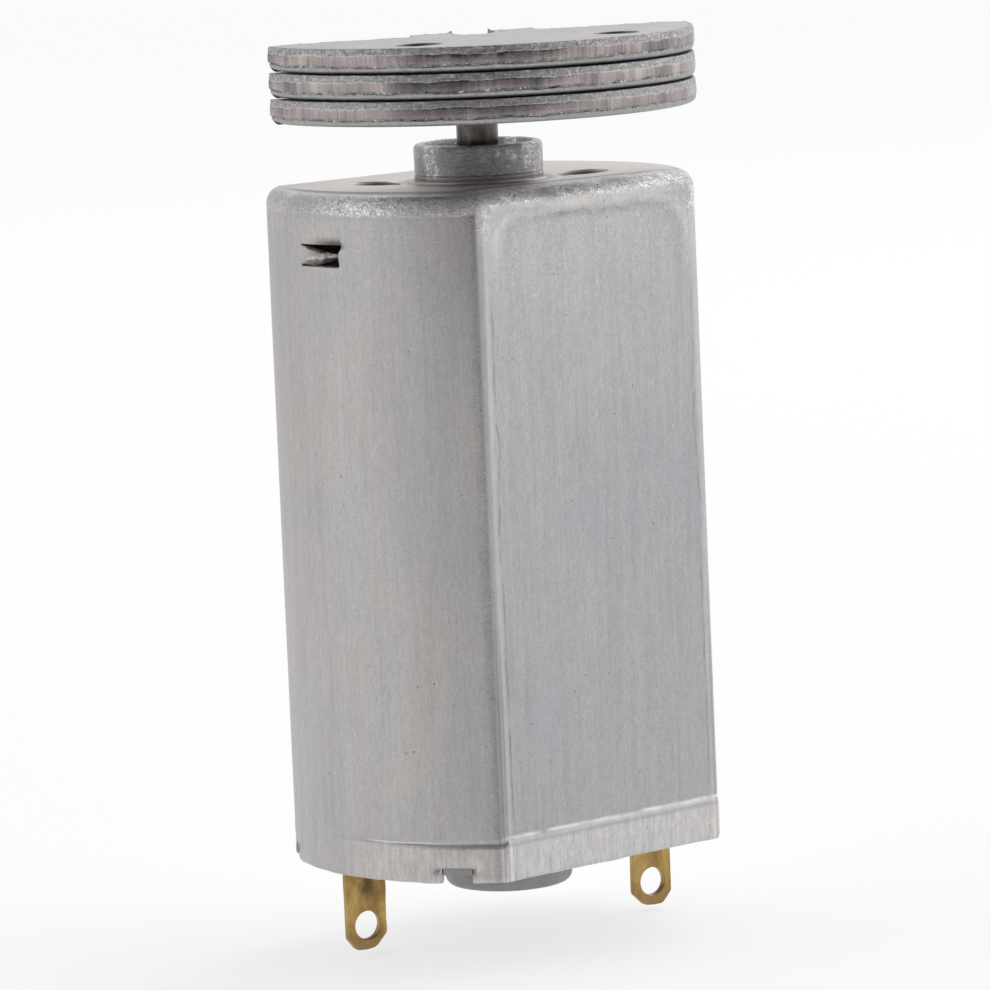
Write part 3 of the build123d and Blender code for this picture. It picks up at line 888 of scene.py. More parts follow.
# tag corners: distance across, z, cut; the left one has uneven sides
TAG_CORNERS = {
    "left": [
        (-TAG_HALF, TAG_TOP, 0.1), (-TAG_HALF, -32.2, 0), (-TAG_HALF - 0.02, -32.9, 0),
        (-TAG_HALF, -33.6, 0), (-TAG_HALF + 0.02, TAG_TIP + 0.62, 0.12),
        (-TAG_HALF + 0.50, TAG_TIP + 0.02, 0.18), (0.0, TAG_TIP, 0),
        (TAG_HALF - 0.62, TAG_TIP + 0.06, 0.22), (TAG_HALF, TAG_TIP + 0.72, 0.14),
        (TAG_HALF - 0.03, -34.3, 0), (TAG_HALF, -33.4, 0), (TAG_HALF, TAG_TOP, 0.1)],
    "right": [
        (-TAG_HALF, TAG_TOP, 0.1), (-TAG_HALF, TAG_TIP + 0.62, 0.12),
        (-TAG_HALF + 0.52, TAG_TIP + 0.02, 0.16), (-0.05, TAG_TIP, 0),
        (TAG_HALF - 0.66, TAG_TIP + 0.03, 0.2), (TAG_HALF, TAG_TIP + 0.66, 0.14),
        (TAG_HALF, TAG_TOP, 0.1)],
}
# inset, height through the sheet
TAG_PROFILE = [(0.085, 0.0), (0.04, 0.012), (0.012, 0.045), (0.0, 0.09), (0.0, 0.2),
               (0.01, 0.30), (0.022, 0.37), (0.045, TAG_THICK + 0.004), (0.085, TAG_THICK)]


def build_terminal(side, variant, hole_x, bend_by):
    """Tag on the -X side, or half a turn round from it when side is right."""
    corners = np.array(TAG_CORNERS[side])
    loop = resample(round_corners(corners[:, :2], corners[:, 2]), 0.12)
    hole = circle(hole_x, TAG_HOLE_Z, TAG_HOLE_R, 56)
    hole[:, 1] = TAG_HOLE_Z + (hole[:, 1] - TAG_HOLE_Z) * 1.02
    s = loop_distance(loop)
    loop_out, hole_out = loop_normals(loop), loop_normals(hole)
    slab = Slab()
    outer, inner = [], []
    for inset, z in TAG_PROFILE:
        uneven = inset + 0.008 * noise(s * 2.2, z * 4, variant * 5, 201)
        outer.append(slab.ring(loop - loop_out * uneven[:, None], z, z / TAG_THICK, s))
        inner.append(slab.ring(hole + hole_out * (inset * 0.8), z, z / TAG_THICK))
    slab.tube(outer)
    slab.tube(inner)

    def waver(x, y):
        return 0.006 * fractal(x * 1.2, y * 0.8, variant * 9, 207, octaves=2)

    slab.fill(outer[-1], [inner[-1]], lambda x, y: TAG_THICK + waver(x, y), 1.0, 0.16)
    slab.fill(outer[0], [inner[0]], waver, 0.0, 0.16)

    def place(points):
        across, z = points[:, 0], points[:, 1]
        # bent slightly below the cap
        through = points[:, 2] - TAG_THICK / 2 + 0.05 * smooth(-33.0, -36.2, z) * bend_by
        x = TAG_X + across * math.cos(TAG_TURN) - through * math.sin(TAG_TURN)
        y = TAG_Y + across * math.sin(TAG_TURN) + through * math.cos(TAG_TURN)
        if side == "right":
            x, y = -x, -y
        return np.stack([x, y, z], 1)

    tag = slab.build("terminal_tag_" + side, 34, place)
    return register(tag, "motor_case", "terminal_" + side)


# ---------------------------------------------------------------------------
# end cap with its lugs and rear boss
# ---------------------------------------------------------------------------
# rim of the cap: inset, height
CAP_PROFILE = [(0.12, 0.0), (0.05, 0.012), (0.012, 0.05), (0.0, 0.10), (0.0, 0.36),
               (0.0, 0.9), (0.03, 0.98), (0.09, 1.0)]
# rear boss, its open bore and the bearing pocket: radius, z
CAP_BOSS_WALL = [(3.55, CAP_REAR_Z), (3.35, CAP_REAR_Z - 0.012), (3.19, CAP_REAR_Z - 0.06),
                 (3.10, CAP_REAR_Z - 0.15), (3.075, CAP_REAR_Z - 0.3), (3.072, -32.4),
                 (CAP_BOSS_R, -32.8), (CAP_BOSS_R, -33.2), (CAP_BOSS_R, -33.5)]
CAP_BOSS_BORE = [(2.4, -33.992), (2.2, -33.975), (1.9, -33.98), (1.6, -33.98), (1.5, -33.97),
                 (1.42, -33.93), (1.40, -33.85), (1.40, -33.6), (1.42, -33.5), (2.3, -33.5),
                 (2.3, -32.6), (2.3, -31.6), (2.33, -30.80), (2.42, -30.75)]


def cap_outline():
    """Cap outline with a lug reaching into each rim notch."""
    xy, _, _ = outline(9.73, 7.13, 0.3, 90, 6, 60)
    loop = []
    for p in resample(xy, 0.07):
        moved = p.copy()
        for turn in NOTCH_TURNS:
            cos_turn, sin_turn = math.cos(math.radians(turn)), math.sin(math.radians(turn))
            across = -p[0] * sin_turn + p[1] * cos_turn
            reach = p[0] * cos_turn + p[1] * sin_turn
            if reach > 8 and abs(across) < CAP_LUG_HALF:
                lug = float(smooth(CAP_LUG_HALF, 0.70, abs(across)))
                reach = reach + (CAP_LUG_R - reach) * lug
                moved = np.array([cos_turn * reach - sin_turn * across,
                                  sin_turn * reach + cos_turn * across])
        loop.append(moved)
    return np.array(loop)


def build_end_cap():
    loop = cap_outline()
    normals = loop_normals(loop)
    s = loop_distance(loop)
    slab = Slab()
    rim = slab.tube([
        slab.ring(loop - normals * (inset + 0.006 * noise(s * 2, z * 3, 0, 301))[:, None],
                  CAP_REAR_Z + z, z, s)
        for inset, z in CAP_PROFILE])
    edge = [(CAP_BOSS_R - CAP_BOSS_EDGE + CAP_BOSS_EDGE * math.cos(math.radians(a)),
             -33.51 - CAP_BOSS_EDGE * math.sin(math.radians(a))) for a in range(9, 91, 9)]
    boss = []
    for r, z in CAP_BOSS_WALL + edge + CAP_BOSS_BORE:
        xy = circle(0, 0, r, 128)
        lift = 0.006 * noise(xy[:, 0] * 1.5, xy[:, 1] * 1.5, z, 305) if z < -33 else 0
        boss.append(slab.ring(xy, z + lift, 0.0, rim=0.4))
    slab.tube(boss)
    # a slot round each terminal tag
    rear_slots, front_slots = [], []
    half_long, half_wide = 3.3 / 2, 1.9 / 2
    corners = [(-half_long, -half_wide), (half_long, -half_wide),
               (half_long, half_wide), (-half_long, half_wide)]
    slot = rotated(resample(round_corners(corners, [0.25] * 4), 0.1), TAG_TURN) + (-7.7, TAG_Y)
    for slot_loop in (slot, -slot):
        slot_out = loop_normals(slot_loop)
        rings = slab.tube([
            slab.ring(slot_loop + slot_out * grow, CAP_REAR_Z + z, z, rim=0.6)
            for grow, z in ((0.10, 0.0), (0.04, 0.01), (0.0, 0.06), (0.0, 0.94), (0.05, 1.0))])
        rear_slots.append(rings[0])
        front_slots.append(rings[-1])

    def rear_face(x, y):
        r = np.hypot(x, y)
        z = CAP_REAR_Z + 0.01 * fractal(x * 0.5, y * 0.5, 0, 307, octaves=2)
        # stiffening ring pressed into the cap
        return z - 0.10 * bell((r - 5.35) / 0.55) * smooth(6.8, 6.0, r)

    slab.fill(rim[0], [boss[0]] + rear_slots, rear_face, 0.0, 0.26)
    slab.fill(rim[-1], [boss[-1]] + front_slots,
              lambda x, y: CAP_REAR_Z + CAP_THICK, 1.0, 0.7)
    return register(slab.build("rear_end_cap", 36), "motor_case", "end_cap")


# ---------------------------------------------------------------------------
# shaft and bearings
# ---------------------------------------------------------------------------
def build_shaft():
    top, bottom = SHAFT_TOP, SHAFT_BOTTOM
    profile = [(0, top), (0.55, top), (0.80, top - 0.005), (0.90, top - 0.03),
               (0.965, top - 0.10), (0.998, top - 0.2)]
    profile += [(0.999, z) for z in np.linspace(6.2, 1.0, 40)]
    profile += [(0.999, z) for z in np.linspace(0.5, -33.3, 24)]
    profile += [(0.998, bottom + 0.2), (0.95, bottom + 0.07), (0.88, bottom + 0.015),
                (0.80, bottom), (0, bottom)]

    def scored(radii, z, turns):
        """Scored band under the plates."""
        near = smooth(3.5, 2.2, z) * smooth(1.2, 2.0, z)
        marks = noise(np.cos(turns) * 3.0, np.sin(turns) * 3.0, z * 0.8, 401)
        return radii - near * 0.010 * np.abs(marks)

    shaft = make_object("motor_shaft", *lathe(profile, 96, scored), 30)
    return register(shaft, "rotor", "shaft")


def build_bearing(name, node, radius, top, bottom):
    profile = [(radius - 0.14, top), (radius - 0.04, top - 0.04), (radius, top - 0.14)]
    profile += [(radius, z) for z in np.linspace(top - 0.3, bottom + 0.3, 6)]
    profile += [(radius, bottom + 0.14), (radius - 0.04, bottom + 0.04),
                (radius - 0.14, bottom), (1.35, bottom), (1.16, bottom + 0.02),
                (1.06, bottom + 0.12), (1.03, bottom + 0.2), (1.03, top - 0.2),
                (1.06, top - 0.12), (1.16, top - 0.02), (1.35, top), (1.8, top - 0.004)]
    bearing = make_object(name, *lathe(profile, 128), 34)
    return register(bearing, "motor_case", node)


# ---------------------------------------------------------------------------
# shader helpers
# ---------------------------------------------------------------------------
def put(tree, socket, value):
    if isinstance(value, Field):
        tree.links.new(value.socket, socket)
    else:
        socket.default_value = value


def add_node(tree, kind, operation, first, second):
    node = tree.nodes.new(kind)
    node.operation = operation
    put(tree, node.inputs[0], first)
    put(tree, node.inputs[1], second)
    return node


def maths(tree, operation, first, second=0.5, clamp=False):
    node = add_node(tree, "ShaderNodeMath", operation, first, second)
    node.use_clamp = clamp
    return Field(tree, node.outputs[0])


def operator(operation, swap=False):
    def method(self, other=0.5):
        pair = (other, self) if swap else (self, other)
        return maths(self.tree, operation, *pair)
    return method


class Field:
    """A shader value; arithmetic on it adds Math nodes."""

    __add__, __radd__ = operator("ADD"), operator("ADD", swap=True)
    __sub__, __rsub__ = operator("SUBTRACT"), operator("SUBTRACT", swap=True)
    __mul__, __truediv__ = operator("MULTIPLY"), operator("DIVIDE")
    __abs__, sqrt, floor = operator("ABSOLUTE"), operator("SQRT"), operator("FLOOR")
    sign, exp, arctan2 = operator("SIGN"), operator("EXPONENT"), operator("ARCTAN2")
    minimum, maximum = operator("MINIMUM"), operator("MAXIMUM")

    def __init__(self, tree, socket):
        self.tree, self.socket = tree, socket

    def fade(self, start, end, low=0.0, high=1.0, kind="LINEAR"):
        """Goes from low at start to high at end and stays there beyond them."""
        node = self.tree.nodes.new("ShaderNodeMapRange")
        node.interpolation_type = kind
        node.clamp = True
        put(self.tree, node.inputs["Value"], self)
        for name, value in (("From Min", start), ("From Max", end),
                            ("To Min", low), ("To Max", high)):
            node.inputs[name].default_value = value
        return Field(self.tree, node.outputs[0])

    def ease(self, start, end, low=0.0, high=1.0):
        """A fade with soft ends."""
        return self.fade(start, end, low, high, kind="SMOOTHSTEP")

    def bell(self, centre, width):
        """1 at the centre, falling off over the width."""
        offset = (self - centre) / width
        return (offset * offset * -1.0).exp()


class Material:
    """A metal or plastic under construction; colour holds the layers laid so far.

    x, y, z and p are the object's own coordinates in millimetres.
    """

    def __init__(self, name):
        self.material = bpy.data.materials.new(name)
        self.material.use_nodes = True
        self.tree = self.material.node_tree
        self.tree.nodes.clear()
        output = self.tree.nodes.new("ShaderNodeOutputMaterial")
        self.shader = self.tree.nodes.new("ShaderNodeBsdfPrincipled")
        self.tree.links.new(self.shader.outputs[0], output.inputs[0])
        coords = self.tree.nodes.new("ShaderNodeTexCoord")
        self.p = Field(self.tree, coords.outputs["Object"])
        self.p = self.scaled(1000, 1000, 1000)
        split = self.tree.nodes.new("ShaderNodeSeparateXYZ")
        put(self.tree, split.inputs[0], self.p)
        self.x, self.y, self.z = (Field(self.tree, socket) for socket in split.outputs)

    def scaled(self, x, y, z):
        node = add_node(self.tree, "ShaderNodeVectorMath", "MULTIPLY", self.p, (x, y, z))
        return Field(self.tree, node.outputs[0])

    def xyz(self, x, y, z):
        node = self.tree.nodes.new("ShaderNodeCombineXYZ")
        for i, value in enumerate((x, y, z)):
            put(self.tree, node.inputs[i], value)
        return Field(self.tree, node.outputs[0])

    def distance_to(self, x, y):
        dx, dy = self.x - x, self.y - y
        return (dx * dx + dy * dy).sqrt()

    def noise(self, vector, scale=1.0, detail=3.0, rough=0.55, twist=0.0):
        node = self.tree.nodes.new("ShaderNodeTexNoise")
        put(self.tree, node.inputs["Vector"], vector)
        node.inputs["Scale"].default_value = scale
        node.inputs["Detail"].default_value = detail
        node.inputs["Roughness"].default_value = rough
        node.inputs["Distortion"].default_value = twist
        return Field(self.tree, node.outputs["Fac"])

    def cells(self, vector, scale=1.0):
        """Distance to the nearest of a scatter of points."""
        node = self.tree.nodes.new("ShaderNodeTexVoronoi")
        put(self.tree, node.inputs["Vector"], vector)
        node.inputs["Scale"].default_value = scale
        return Field(self.tree, node.outputs["Distance"])

    def ramp(self, value, stops):
        """Colour ramp from (position, grey or colour) stops."""
        node = self.tree.nodes.new("ShaderNodeValToRGB")
        elements = node.color_ramp.elements
        while len(elements) < len(stops):
            elements.new(0.5)
        for element, (position, colour) in zip(elements, stops):
            element.position = position
            grey = isinstance(colour, (int, float))
            element.color = (colour, colour, colour, 1) if grey else (*colour, 1)
        put(self.tree, node.inputs[0], value)
        return Field(self.tree, node.outputs[0])

    def mix(self, amount, first, second, mode="MIX"):
        node = self.tree.nodes.new("ShaderNodeMix")
        node.data_type = "RGBA"
        node.blend_type = mode
        node.clamp_factor = True
        put(self.tree, node.inputs[0], amount)
        for i, value in ((6, first), (7, second)):
            put(self.tree, node.inputs[i], (*value, 1) if isinstance(value, tuple) else value)
        return Field(self.tree, node.outputs[2])

    def paint(self, amount, colour):
        """Covers the colour so far."""
        self.colour = self.mix(amount, self.colour, colour)

    def tint(self, amount, colour):
        """Multiplies the colour so far."""
        self.colour = self.mix(amount, self.colour, colour, "MULTIPLY")

    def mottle(self, amount, pattern, dark, light, middle=True):
        """Multiplies by a pattern; dark and light are (pattern value, brightness)."""
        stops = [dark, (0.5, 1.0), light] if middle else [dark, light]
        self.tint(amount, self.ramp(pattern, stops))

    def attribute(self, name):
        node = self.tree.nodes.new("ShaderNodeAttribute")
        node.attribute_name = name
        return Field(self.tree, node.outputs["Fac"])

    def bump(self, height, strength, depth, normal=None):
        """Bumped normal; depth is in millimetres."""
        node = self.tree.nodes.new("ShaderNodeBump")
        node.inputs["Strength"].default_value = strength
        node.inputs["Distance"].default_value = depth * MM
        put(self.tree, node.inputs["Height"], height)
        if normal is not None:
            put(self.tree, node.inputs["Normal"], normal)
        return Field(self.tree, node.outputs[0])

    def finish(self, rough, metal, normal, **more):
        settings = {"Base Color": self.colour, "Roughness": rough, "Metallic": metal,
                    "Normal": normal, **more}
        for name, value in settings.items():
            put(self.tree, self.shader.inputs[name], value)
        return self.material


# ---------------------------------------------------------------------------
# can material: masks first, then layers in the order they are laid
# ---------------------------------------------------------------------------
class CanSteel(Material):
    def __init__(self, name):
        """Masks that tell where on the can a point lies."""
        super().__init__(name)
        x, y, z = self.x, self.y, self.z
        self.abs_x, self.abs_y = abs(x), abs(y)
        self.radius = (x * x + y * y).sqrt()
        self.flat = self.abs_y.fade(7.40, 7.50)
        self.boss = z.fade(0.10, 0.20) * self.radius.fade(3.4, 3.2)
        # distance in from the face's border, and how near the border is to a flat
        in_round = (CAN_R - ROUND_EDGE) - self.radius
        in_flat = (CAN_HALF_FLAT - FLAT_EDGE) - self.abs_y
        waver = self.noise(self.p, 0.55, rough=0.6) - 0.5
        self.inward = in_round.minimum(in_flat) + waver * 0.35
        self.by_flat = (in_flat - in_round).ease(0.35, -0.35)
        # the face's border band, which carries painted shade and painted glints, is widest
        # towards -X -Y
        toward = x * -0.664 + y * -0.748
        self.border = ((1.0 - self.by_flat) * toward.fade(0.0, 7.4, 0.0, 1.87)
                       + self.by_flat * (toward.fade(0.0, 4.6, 0.90, 1.90)
                                         * toward.fade(-0.6, 0.6)))
        self.face = ((self.inward - self.border).ease(-0.12, 0.12) * z.fade(-0.14, -0.10)
                     * (1.0 - self.boss))
        self.edge = z.ease(-1.15, -0.80)
        self.upper = z.ease(-7.0, -1.0)
        self.rim = z.fade(-30.32, -30.5) * x.fade(-7.0, -6.0).maximum(y.ease(0.6, -2.6))
        # distance round the side, the same on the round and the flat
        self.around = y.arctan2(x) * ((1.0 - self.flat) * CAN_R) + x * self.flat

    def unrolled(self, around, along, seed):
        """Coordinates round and along the side, each scaled."""
        return self.xyz(self.around * around, self.z * along, self.y * 0.0 + seed)

    def slanted(self, degrees, along, across, seed):
        """Unrolled coordinates turned by an angle, then scaled."""
        c, s = math.cos(math.radians(degrees)), math.sin(math.radians(degrees))
        first = self.around * c + self.z * s
        second = self.around * -s + self.z * c
        return self.xyz(first * along, second * across, self.y * 0.0 + seed)

    def sheet(self):
        """Zinc tone with bands, streaks, grain and short crossing fibres."""
        z, flat = self.z, self.flat
        blotch = self.noise(self.scaled(0.20, 0.20, 0.16), detail=4, rough=0.6, twist=0.5)
        self.colour = self.ramp(blotch, [(0.30, (0.452, 0.458, 0.468)),
                                         (0.5, (0.478, 0.474, 0.475)),
                                         (0.70, (0.500, 0.480, 0.474))])
        self.side = side = z.ease(0.0, -0.55)
        bands = self.noise(self.unrolled(1.9, 0.10, 3.1))
        self.tint(side * 0.85, self.ramp(bands, [(0.30, (0.965, 0.985, 1.00)), (0.5, 1.0),
                                                 (0.70, (1.045, 1.015, 1.0))]))
        broad = self.noise(self.unrolled(0.42, 0.05, 9.7), detail=2, rough=0.5)
        pink = broad.ease(0.46, 0.62) * (1.0 - flat)
        self.tint(pink * side * 0.55, (0.99, 0.935, 0.935))
        self.dash = self.noise(self.unrolled(13.0, 1.7, 5.3), rough=0.6)
        self.mottle(side * 0.55, self.dash, (0.30, 0.84), (0.70, 1.14))
        self.streak = self.noise(self.unrolled(4.5, 0.16, 1.7), detail=4, rough=0.6)
        self.mottle(side * 0.30, self.streak, (0.28, 0.84), (0.74, 1.14))
        self.grain = self.noise(self.p, 13.0, rough=0.7)
        self.mottle(0.50, self.grain, (0.30, 0.80), (0.70, 1.18))
        self.speck = self.noise(self.p, 5.5, detail=4, rough=0.7)
        self.mottle(0.40, self.speck, (0.32, 0.84), (0.68, 1.12))
        rising, falling, level = (
            self.noise(self.slanted(*lay), detail=2, rough=0.5, twist=0.4)
            for lay in ((28, 2.6, 13.0, 2.0), (-38, 2.8, 14.0, 6.0), (6, 2.4, 12.0, 11.0)))
        self.fibre = (rising.fade(0.60, 0.76).maximum(falling.fade(0.60, 0.76))
                      .maximum(level.fade(0.60, 0.78)))
        dark_fibre = rising.fade(0.38, 0.26).maximum(falling.fade(0.38, 0.26))
        # densest towards the front
        self.fibre_on = side * (0.22 + (self.upper * 0.55 + 0.0) * (flat * 0.6 + 0.4))
        self.paint(self.fibre * self.fibre_on, (0.70, 0.695, 0.69))
        self.paint(dark_fibre * (self.fibre_on * 0.55), (0.30, 0.30, 0.305))
        # cooler flats, with painted light: darker low down and brightest near the front
        self.tint(flat, self.ramp(z.fade(-30.0, -1.0), [(0.0, (0.885, 0.890, 0.905)),
                                                        (0.6, (0.925, 0.930, 0.945)),
                                                        (1.0, (1.06, 1.062, 1.072))]))
        round_tone = self.ramp(z.fade(-30.0, -1.0), [(0.0, (1.00, 0.995, 0.985)),
                                                     (0.5, (1.0, 0.99, 0.985)),
                                                     (1.0, (0.985, 0.97, 0.965))])
        self.tint(1.0 - flat, round_tone)

    def corners(self):
        """Vertical corners: dark band on the round side, burnished and with painted shade;
        painted highlight on the fold on the flat; painted shade in the crease low down.
        """
        z, flat = self.z, self.flat
        dx, dy = self.abs_x - 6.80, self.abs_y - 7.58
        self.corner = (dx * dx + dy * dy).sqrt()
        waver = self.noise(self.unrolled(0.0, 0.45, 4.0), detail=2, rough=0.5)
        wavy = self.corner + (waver - 0.5) * 0.45
        self.corner_burnish_and_shade = (1.0 - flat) * wavy.ease(0.95, 0.12)
        wide_corner_shade = (1.0 - flat) * (self.corner.ease(4.2, 0.6) * self.upper)
        # painted shade on the round side's corner band, wider near the top
        self.tint(self.corner_burnish_and_shade * 0.62, (0.60, 0.60, 0.62))
        self.tint(wide_corner_shade * 0.55, (0.70, 0.675, 0.69))
        self.from_border = FLAT_BORDER_X - self.abs_x
        # painted highlight along the fold on the flat
        fold = flat * (self.from_border + (waver - 0.5) * 0.30).ease(0.42, 0.10)
        fold = fold * (0.35 + self.noise(self.unrolled(0.0, 1.1, 8.0), rough=0.6) * 0.8)
        self.paint(fold * 0.42, (0.72, 0.715, 0.71))
        # broken hairline beside the fold
        waver = self.noise(self.unrolled(0.0, 0.22, 14.0), detail=2, rough=0.5)
        hair = flat * (self.from_border + (waver - 0.5) * 0.9).bell(0.40, 0.055)
        hair = hair * self.noise(self.unrolled(0.0, 0.38, 21.0), rough=0.7).fade(0.40, 0.56)
        self.hair = hair * z.fade(-4.6, -6.0)
        self.paint(self.hair * (0.28 + self.x.fade(0.0, -2.0) * 0.22), (0.16, 0.16, 0.165))
        # painted shade in the crease along the corner, low down
        crease_shade = self.corner.bell(0.10, 0.07) * z.fade(-18.0, -24.0)
        self.paint(crease_shade * 0.45, (0.17, 0.17, 0.18))

    def flat_frames(self):
        """Raised frame on the flats: painted highlight on its crest, painted shade in the groove
        inside it, a painted shadow beyond, and warm patches.
        """
        flat = self.flat
        down = (-0.40 - self.z).maximum(0.0)
        across_left = (2.2 - (self.from_border - 0.1).maximum(0.0) * 0.8).maximum(0.0)
        down_left = (2.2 - down).maximum(0.0)
        depth = 2.2 - (across_left * across_left + down_left * down_left).sqrt()
        depth = depth + (self.noise(self.scaled(0.55, 0.0, 0.55), rough=0.6) - 0.5) * 0.55
        near_top = self.z.ease(-5.0, -1.6)
        # painted highlight on the frame's crest
        crest = flat * depth.bell(0.46, 0.20) * near_top
        crest = crest * self.noise(self.scaled(0.5, 0.0, 0.9), rough=0.6).fade(0.32, 0.60)
        self.paint(crest * 0.34, (0.84, 0.83, 0.815))
        # painted shade in the groove inside the frame, and a painted shadow over the hollow
        # beyond it
        middle = abs(self.abs_x - 0.6).ease(3.6, 2.2)
        broken = self.noise(self.scaled(0.9, 0.0, 2.4), rough=0.7).fade(0.42, 0.60)
        groove = flat * depth.bell(0.86, 0.12) * (near_top * middle * broken)
        self.paint(groove * 0.50, (0.22, 0.225, 0.225))
        shadow = flat * depth.bell(0.98, 0.28) * near_top
        self.tint(shadow * 0.30, (0.78, 0.79, 0.80))
        patches = self.noise(self.scaled(0.35, 0.0, 0.5), detail=2).fade(0.45, 0.62)
        warm = flat * (depth.ease(1.4, 0.5) * (near_top * patches))
        self.tint(warm * 0.5, (1.06, 1.0, 0.93))

    def front_edge(self):
        """Front edge, burnished in its roughness, with painted shade over its rounding, a painted
        dark band next to the face and painted orange-peel glints.
        """
        z, by_flat = self.z, self.by_flat
        # painted shade over the rounded front edge
        edge_shade = self.mix(1.0 - self.flat, (0.90, 0.90, 0.91), (0.84, 0.84, 0.85))
        self.tint(self.edge * (1.0 - self.face) * 0.85, edge_shade)
        # painted glints: orange-peel lines painted near white
        coarse = self.noise(self.scaled(1.0, 1.0, 1.5), 2.3, detail=2, twist=1.4)
        fine = self.noise(self.scaled(1.0, 1.0, 1.3), 3.9, detail=2, rough=0.5, twist=1.2)
        coarse_line = abs(coarse - 0.5).fade(0.055, 0.018)
        fine_line = abs(fine - 0.5).fade(0.050, 0.016)
        self.glint = coarse_line.maximum(fine_line * 0.85)
        self.top_corner = self.corner.ease(1.0, 0.25) * z.ease(-2.4, -1.2)
        self.edge_top = z.ease(-0.92, -0.70) * (1.0 - by_flat) + z.ease(-0.62, -0.38) * by_flat
        patch = self.noise(self.p, 0.55, rough=0.6).fade(0.36, 0.60)
        spot = self.y.bell(-2.4, 2.3) * self.x.fade(-7.4, -8.0)
        patch = (patch * (0.28 + by_flat * 0.72)).maximum(spot)
        glint_end = self.border * (0.30 + by_flat * 0.28)
        outside = (self.inward - glint_end).ease(0.22, -0.22)
        # painted shade: a dark band between the glints and the face
        lip = ((self.inward - self.border).ease(0.12, -0.12)
               * (self.inward - glint_end).ease(-0.25, 0.30))
        lip = lip * self.border.fade(0.05, 0.60)
        lip = lip * ((1.0 - self.boss) * z.fade(-0.30, -0.20))
        self.tint(lip * (0.90 + by_flat * -0.25), (0.47, 0.47, 0.485))
        zone = self.edge_top.maximum(self.top_corner * self.flat) * outside
        self.zone = zone * (0.15 + patch * 0.85)
        # painted highlight over the glint zone, painted glints, and painted dark speckle between
        # them
        self.paint(self.zone * 0.28, (0.80, 0.795, 0.79))
        self.paint(self.glint * self.zone * 1.0, (1.0, 1.0, 0.995))
        self.paint(fine.fade(0.44, 0.30) * self.zone * 0.50, (0.20, 0.20, 0.205))

    def face_and_boss(self):
        x, y, z = self.x, self.y, self.z
        # painted light: the front face is painted lighter; the boss is darker
        self.tint(self.face * 0.9, (1.30, 1.24, 1.20))
        self.tint(self.boss * 0.95, (0.86, 0.865, 0.885))
        # painted glints on the boss
        patches = self.noise(self.scaled(0.9, 0.9, 0.5), detail=2).fade(0.50, 0.60)
        self.paint(self.boss * (self.glint * patches) * 0.75, (0.92, 0.92, 0.91))
        # painted shade round the foot of the boss
        foot = self.radius.ease(3.95, 3.35) * z.fade(0.33, 0.20)
        self.tint(foot * 0.75, (0.50, 0.49, 0.485))
        scuff = self.noise(self.xyz(x * 1.1, y * 4.2, 2.0), detail=4, rough=0.65, twist=0.6)
        self.mottle(self.face * 0.5, scuff, (0.30, 0.84), (0.70, 1.14))
        # painted shade in the wells of the two holes
        turn = math.radians(FACE_HOLE_TURN)
        for s in (1.0, -1.0):
            distance = self.distance_to(s * FACE_HOLE_R * math.cos(turn),
                                        s * FACE_HOLE_R * math.sin(turn))
            well = distance.fade(1.30, 1.16) * (z.fade(-1.2, -0.9) * z.fade(0.15, 0.12))
            self.paint(well * 0.9, (0.10, 0.095, 0.095))

    def rear_rim(self):
        """Lighter, warmer rim with vertical wipes, painted shade along the groove at the step and
        painted highlights along the step's edge.
        """
        x, y, flat = self.x, self.y, self.flat
        wipes = self.noise(self.unrolled(5.0, 0.9, 17.0), detail=4, rough=0.65)
        self.tint(self.rim, self.ramp(wipes, [(0.3, (1.02, 1.02, 1.03)),
                                              (0.5, (1.22, 1.19, 1.17)),
                                              (0.7, (1.38, 1.33, 1.28))]))
        self.tint(self.rim * flat, (1.15, 1.15, 1.15))
        # painted shade along the groove above the step
        waver = self.noise(self.unrolled(0.35, 0.0, 19.0), detail=2) - 0.5
        from_step = self.z + (waver * 0.14 + (30.30 + flat * -0.17))
        on = self.noise(self.unrolled(0.45, 0.0, 23.0), rough=0.6).fade(0.36, 0.58)
        on = on * x.fade(-7.0, -6.0).maximum(y.fade(1.0, -1.4))
        dark = from_step.bell(0.0, 0.055) * ((1.0 - flat) * on)
        self.paint(dark * 0.62, (0.20, 0.15, 0.145))
        # painted highlights along the step's edge
        broken = self.noise(self.unrolled(0.5, 0.8, 29.0), rough=0.5).fade(0.34, 0.56)
        step_highlight_flat = from_step.bell(0.10, 0.09) * (flat * broken)
        self.paint(step_highlight_flat * 0.8, (0.96, 0.955, 0.94))
        step_highlight_round = (from_step.bell(0.075, 0.032) * (1.0 - flat)
                        * (y.fade(-1.2, -2.0) * y.fade(-6.0, -4.6) * x.fade(-5.0, -6.0)))
        self.paint(step_highlight_round * 0.55, (0.93, 0.92, 0.92))

    def wear(self):
        """Pits, nicks and hair scratches."""
        spots = self.cells(self.scaled(1.0, 1.0, 0.75), 1.5)
        self.pits = spots.fade(0.075, 0.040) * self.noise(self.p, 0.9, detail=1).fade(0.48, 0.54)
        self.paint(self.pits * 0.62, (0.13, 0.12, 0.12))
        rising = self.cells(self.slanted(50, 0.9, 3.4, 31.0))
        falling = self.cells(self.slanted(-25, 0.8, 3.8, 37.0))
        rising = rising.fade(0.075, 0.030) * self.noise(self.p, 0.32, detail=2).fade(0.50, 0.58)
        falling = falling.fade(0.070, 0.030) * self.noise(self.p, 0.41, detail=2).fade(0.50, 0.60)
        self.nicks = rising.maximum(falling)
        self.paint(self.nicks * 0.50, (0.93, 0.92, 0.90))
        lines = self.noise(self.slanted(56, 0.18, 7.0, 41.0), detail=1, rough=0.3)
        self.scratches = (abs(lines - 0.5).fade(0.006, 0.002)
                          * self.noise(self.p, 0.30, detail=2).fade(0.56, 0.64))
        self.paint(self.scratches * 0.35, (0.86, 0.85, 0.84))

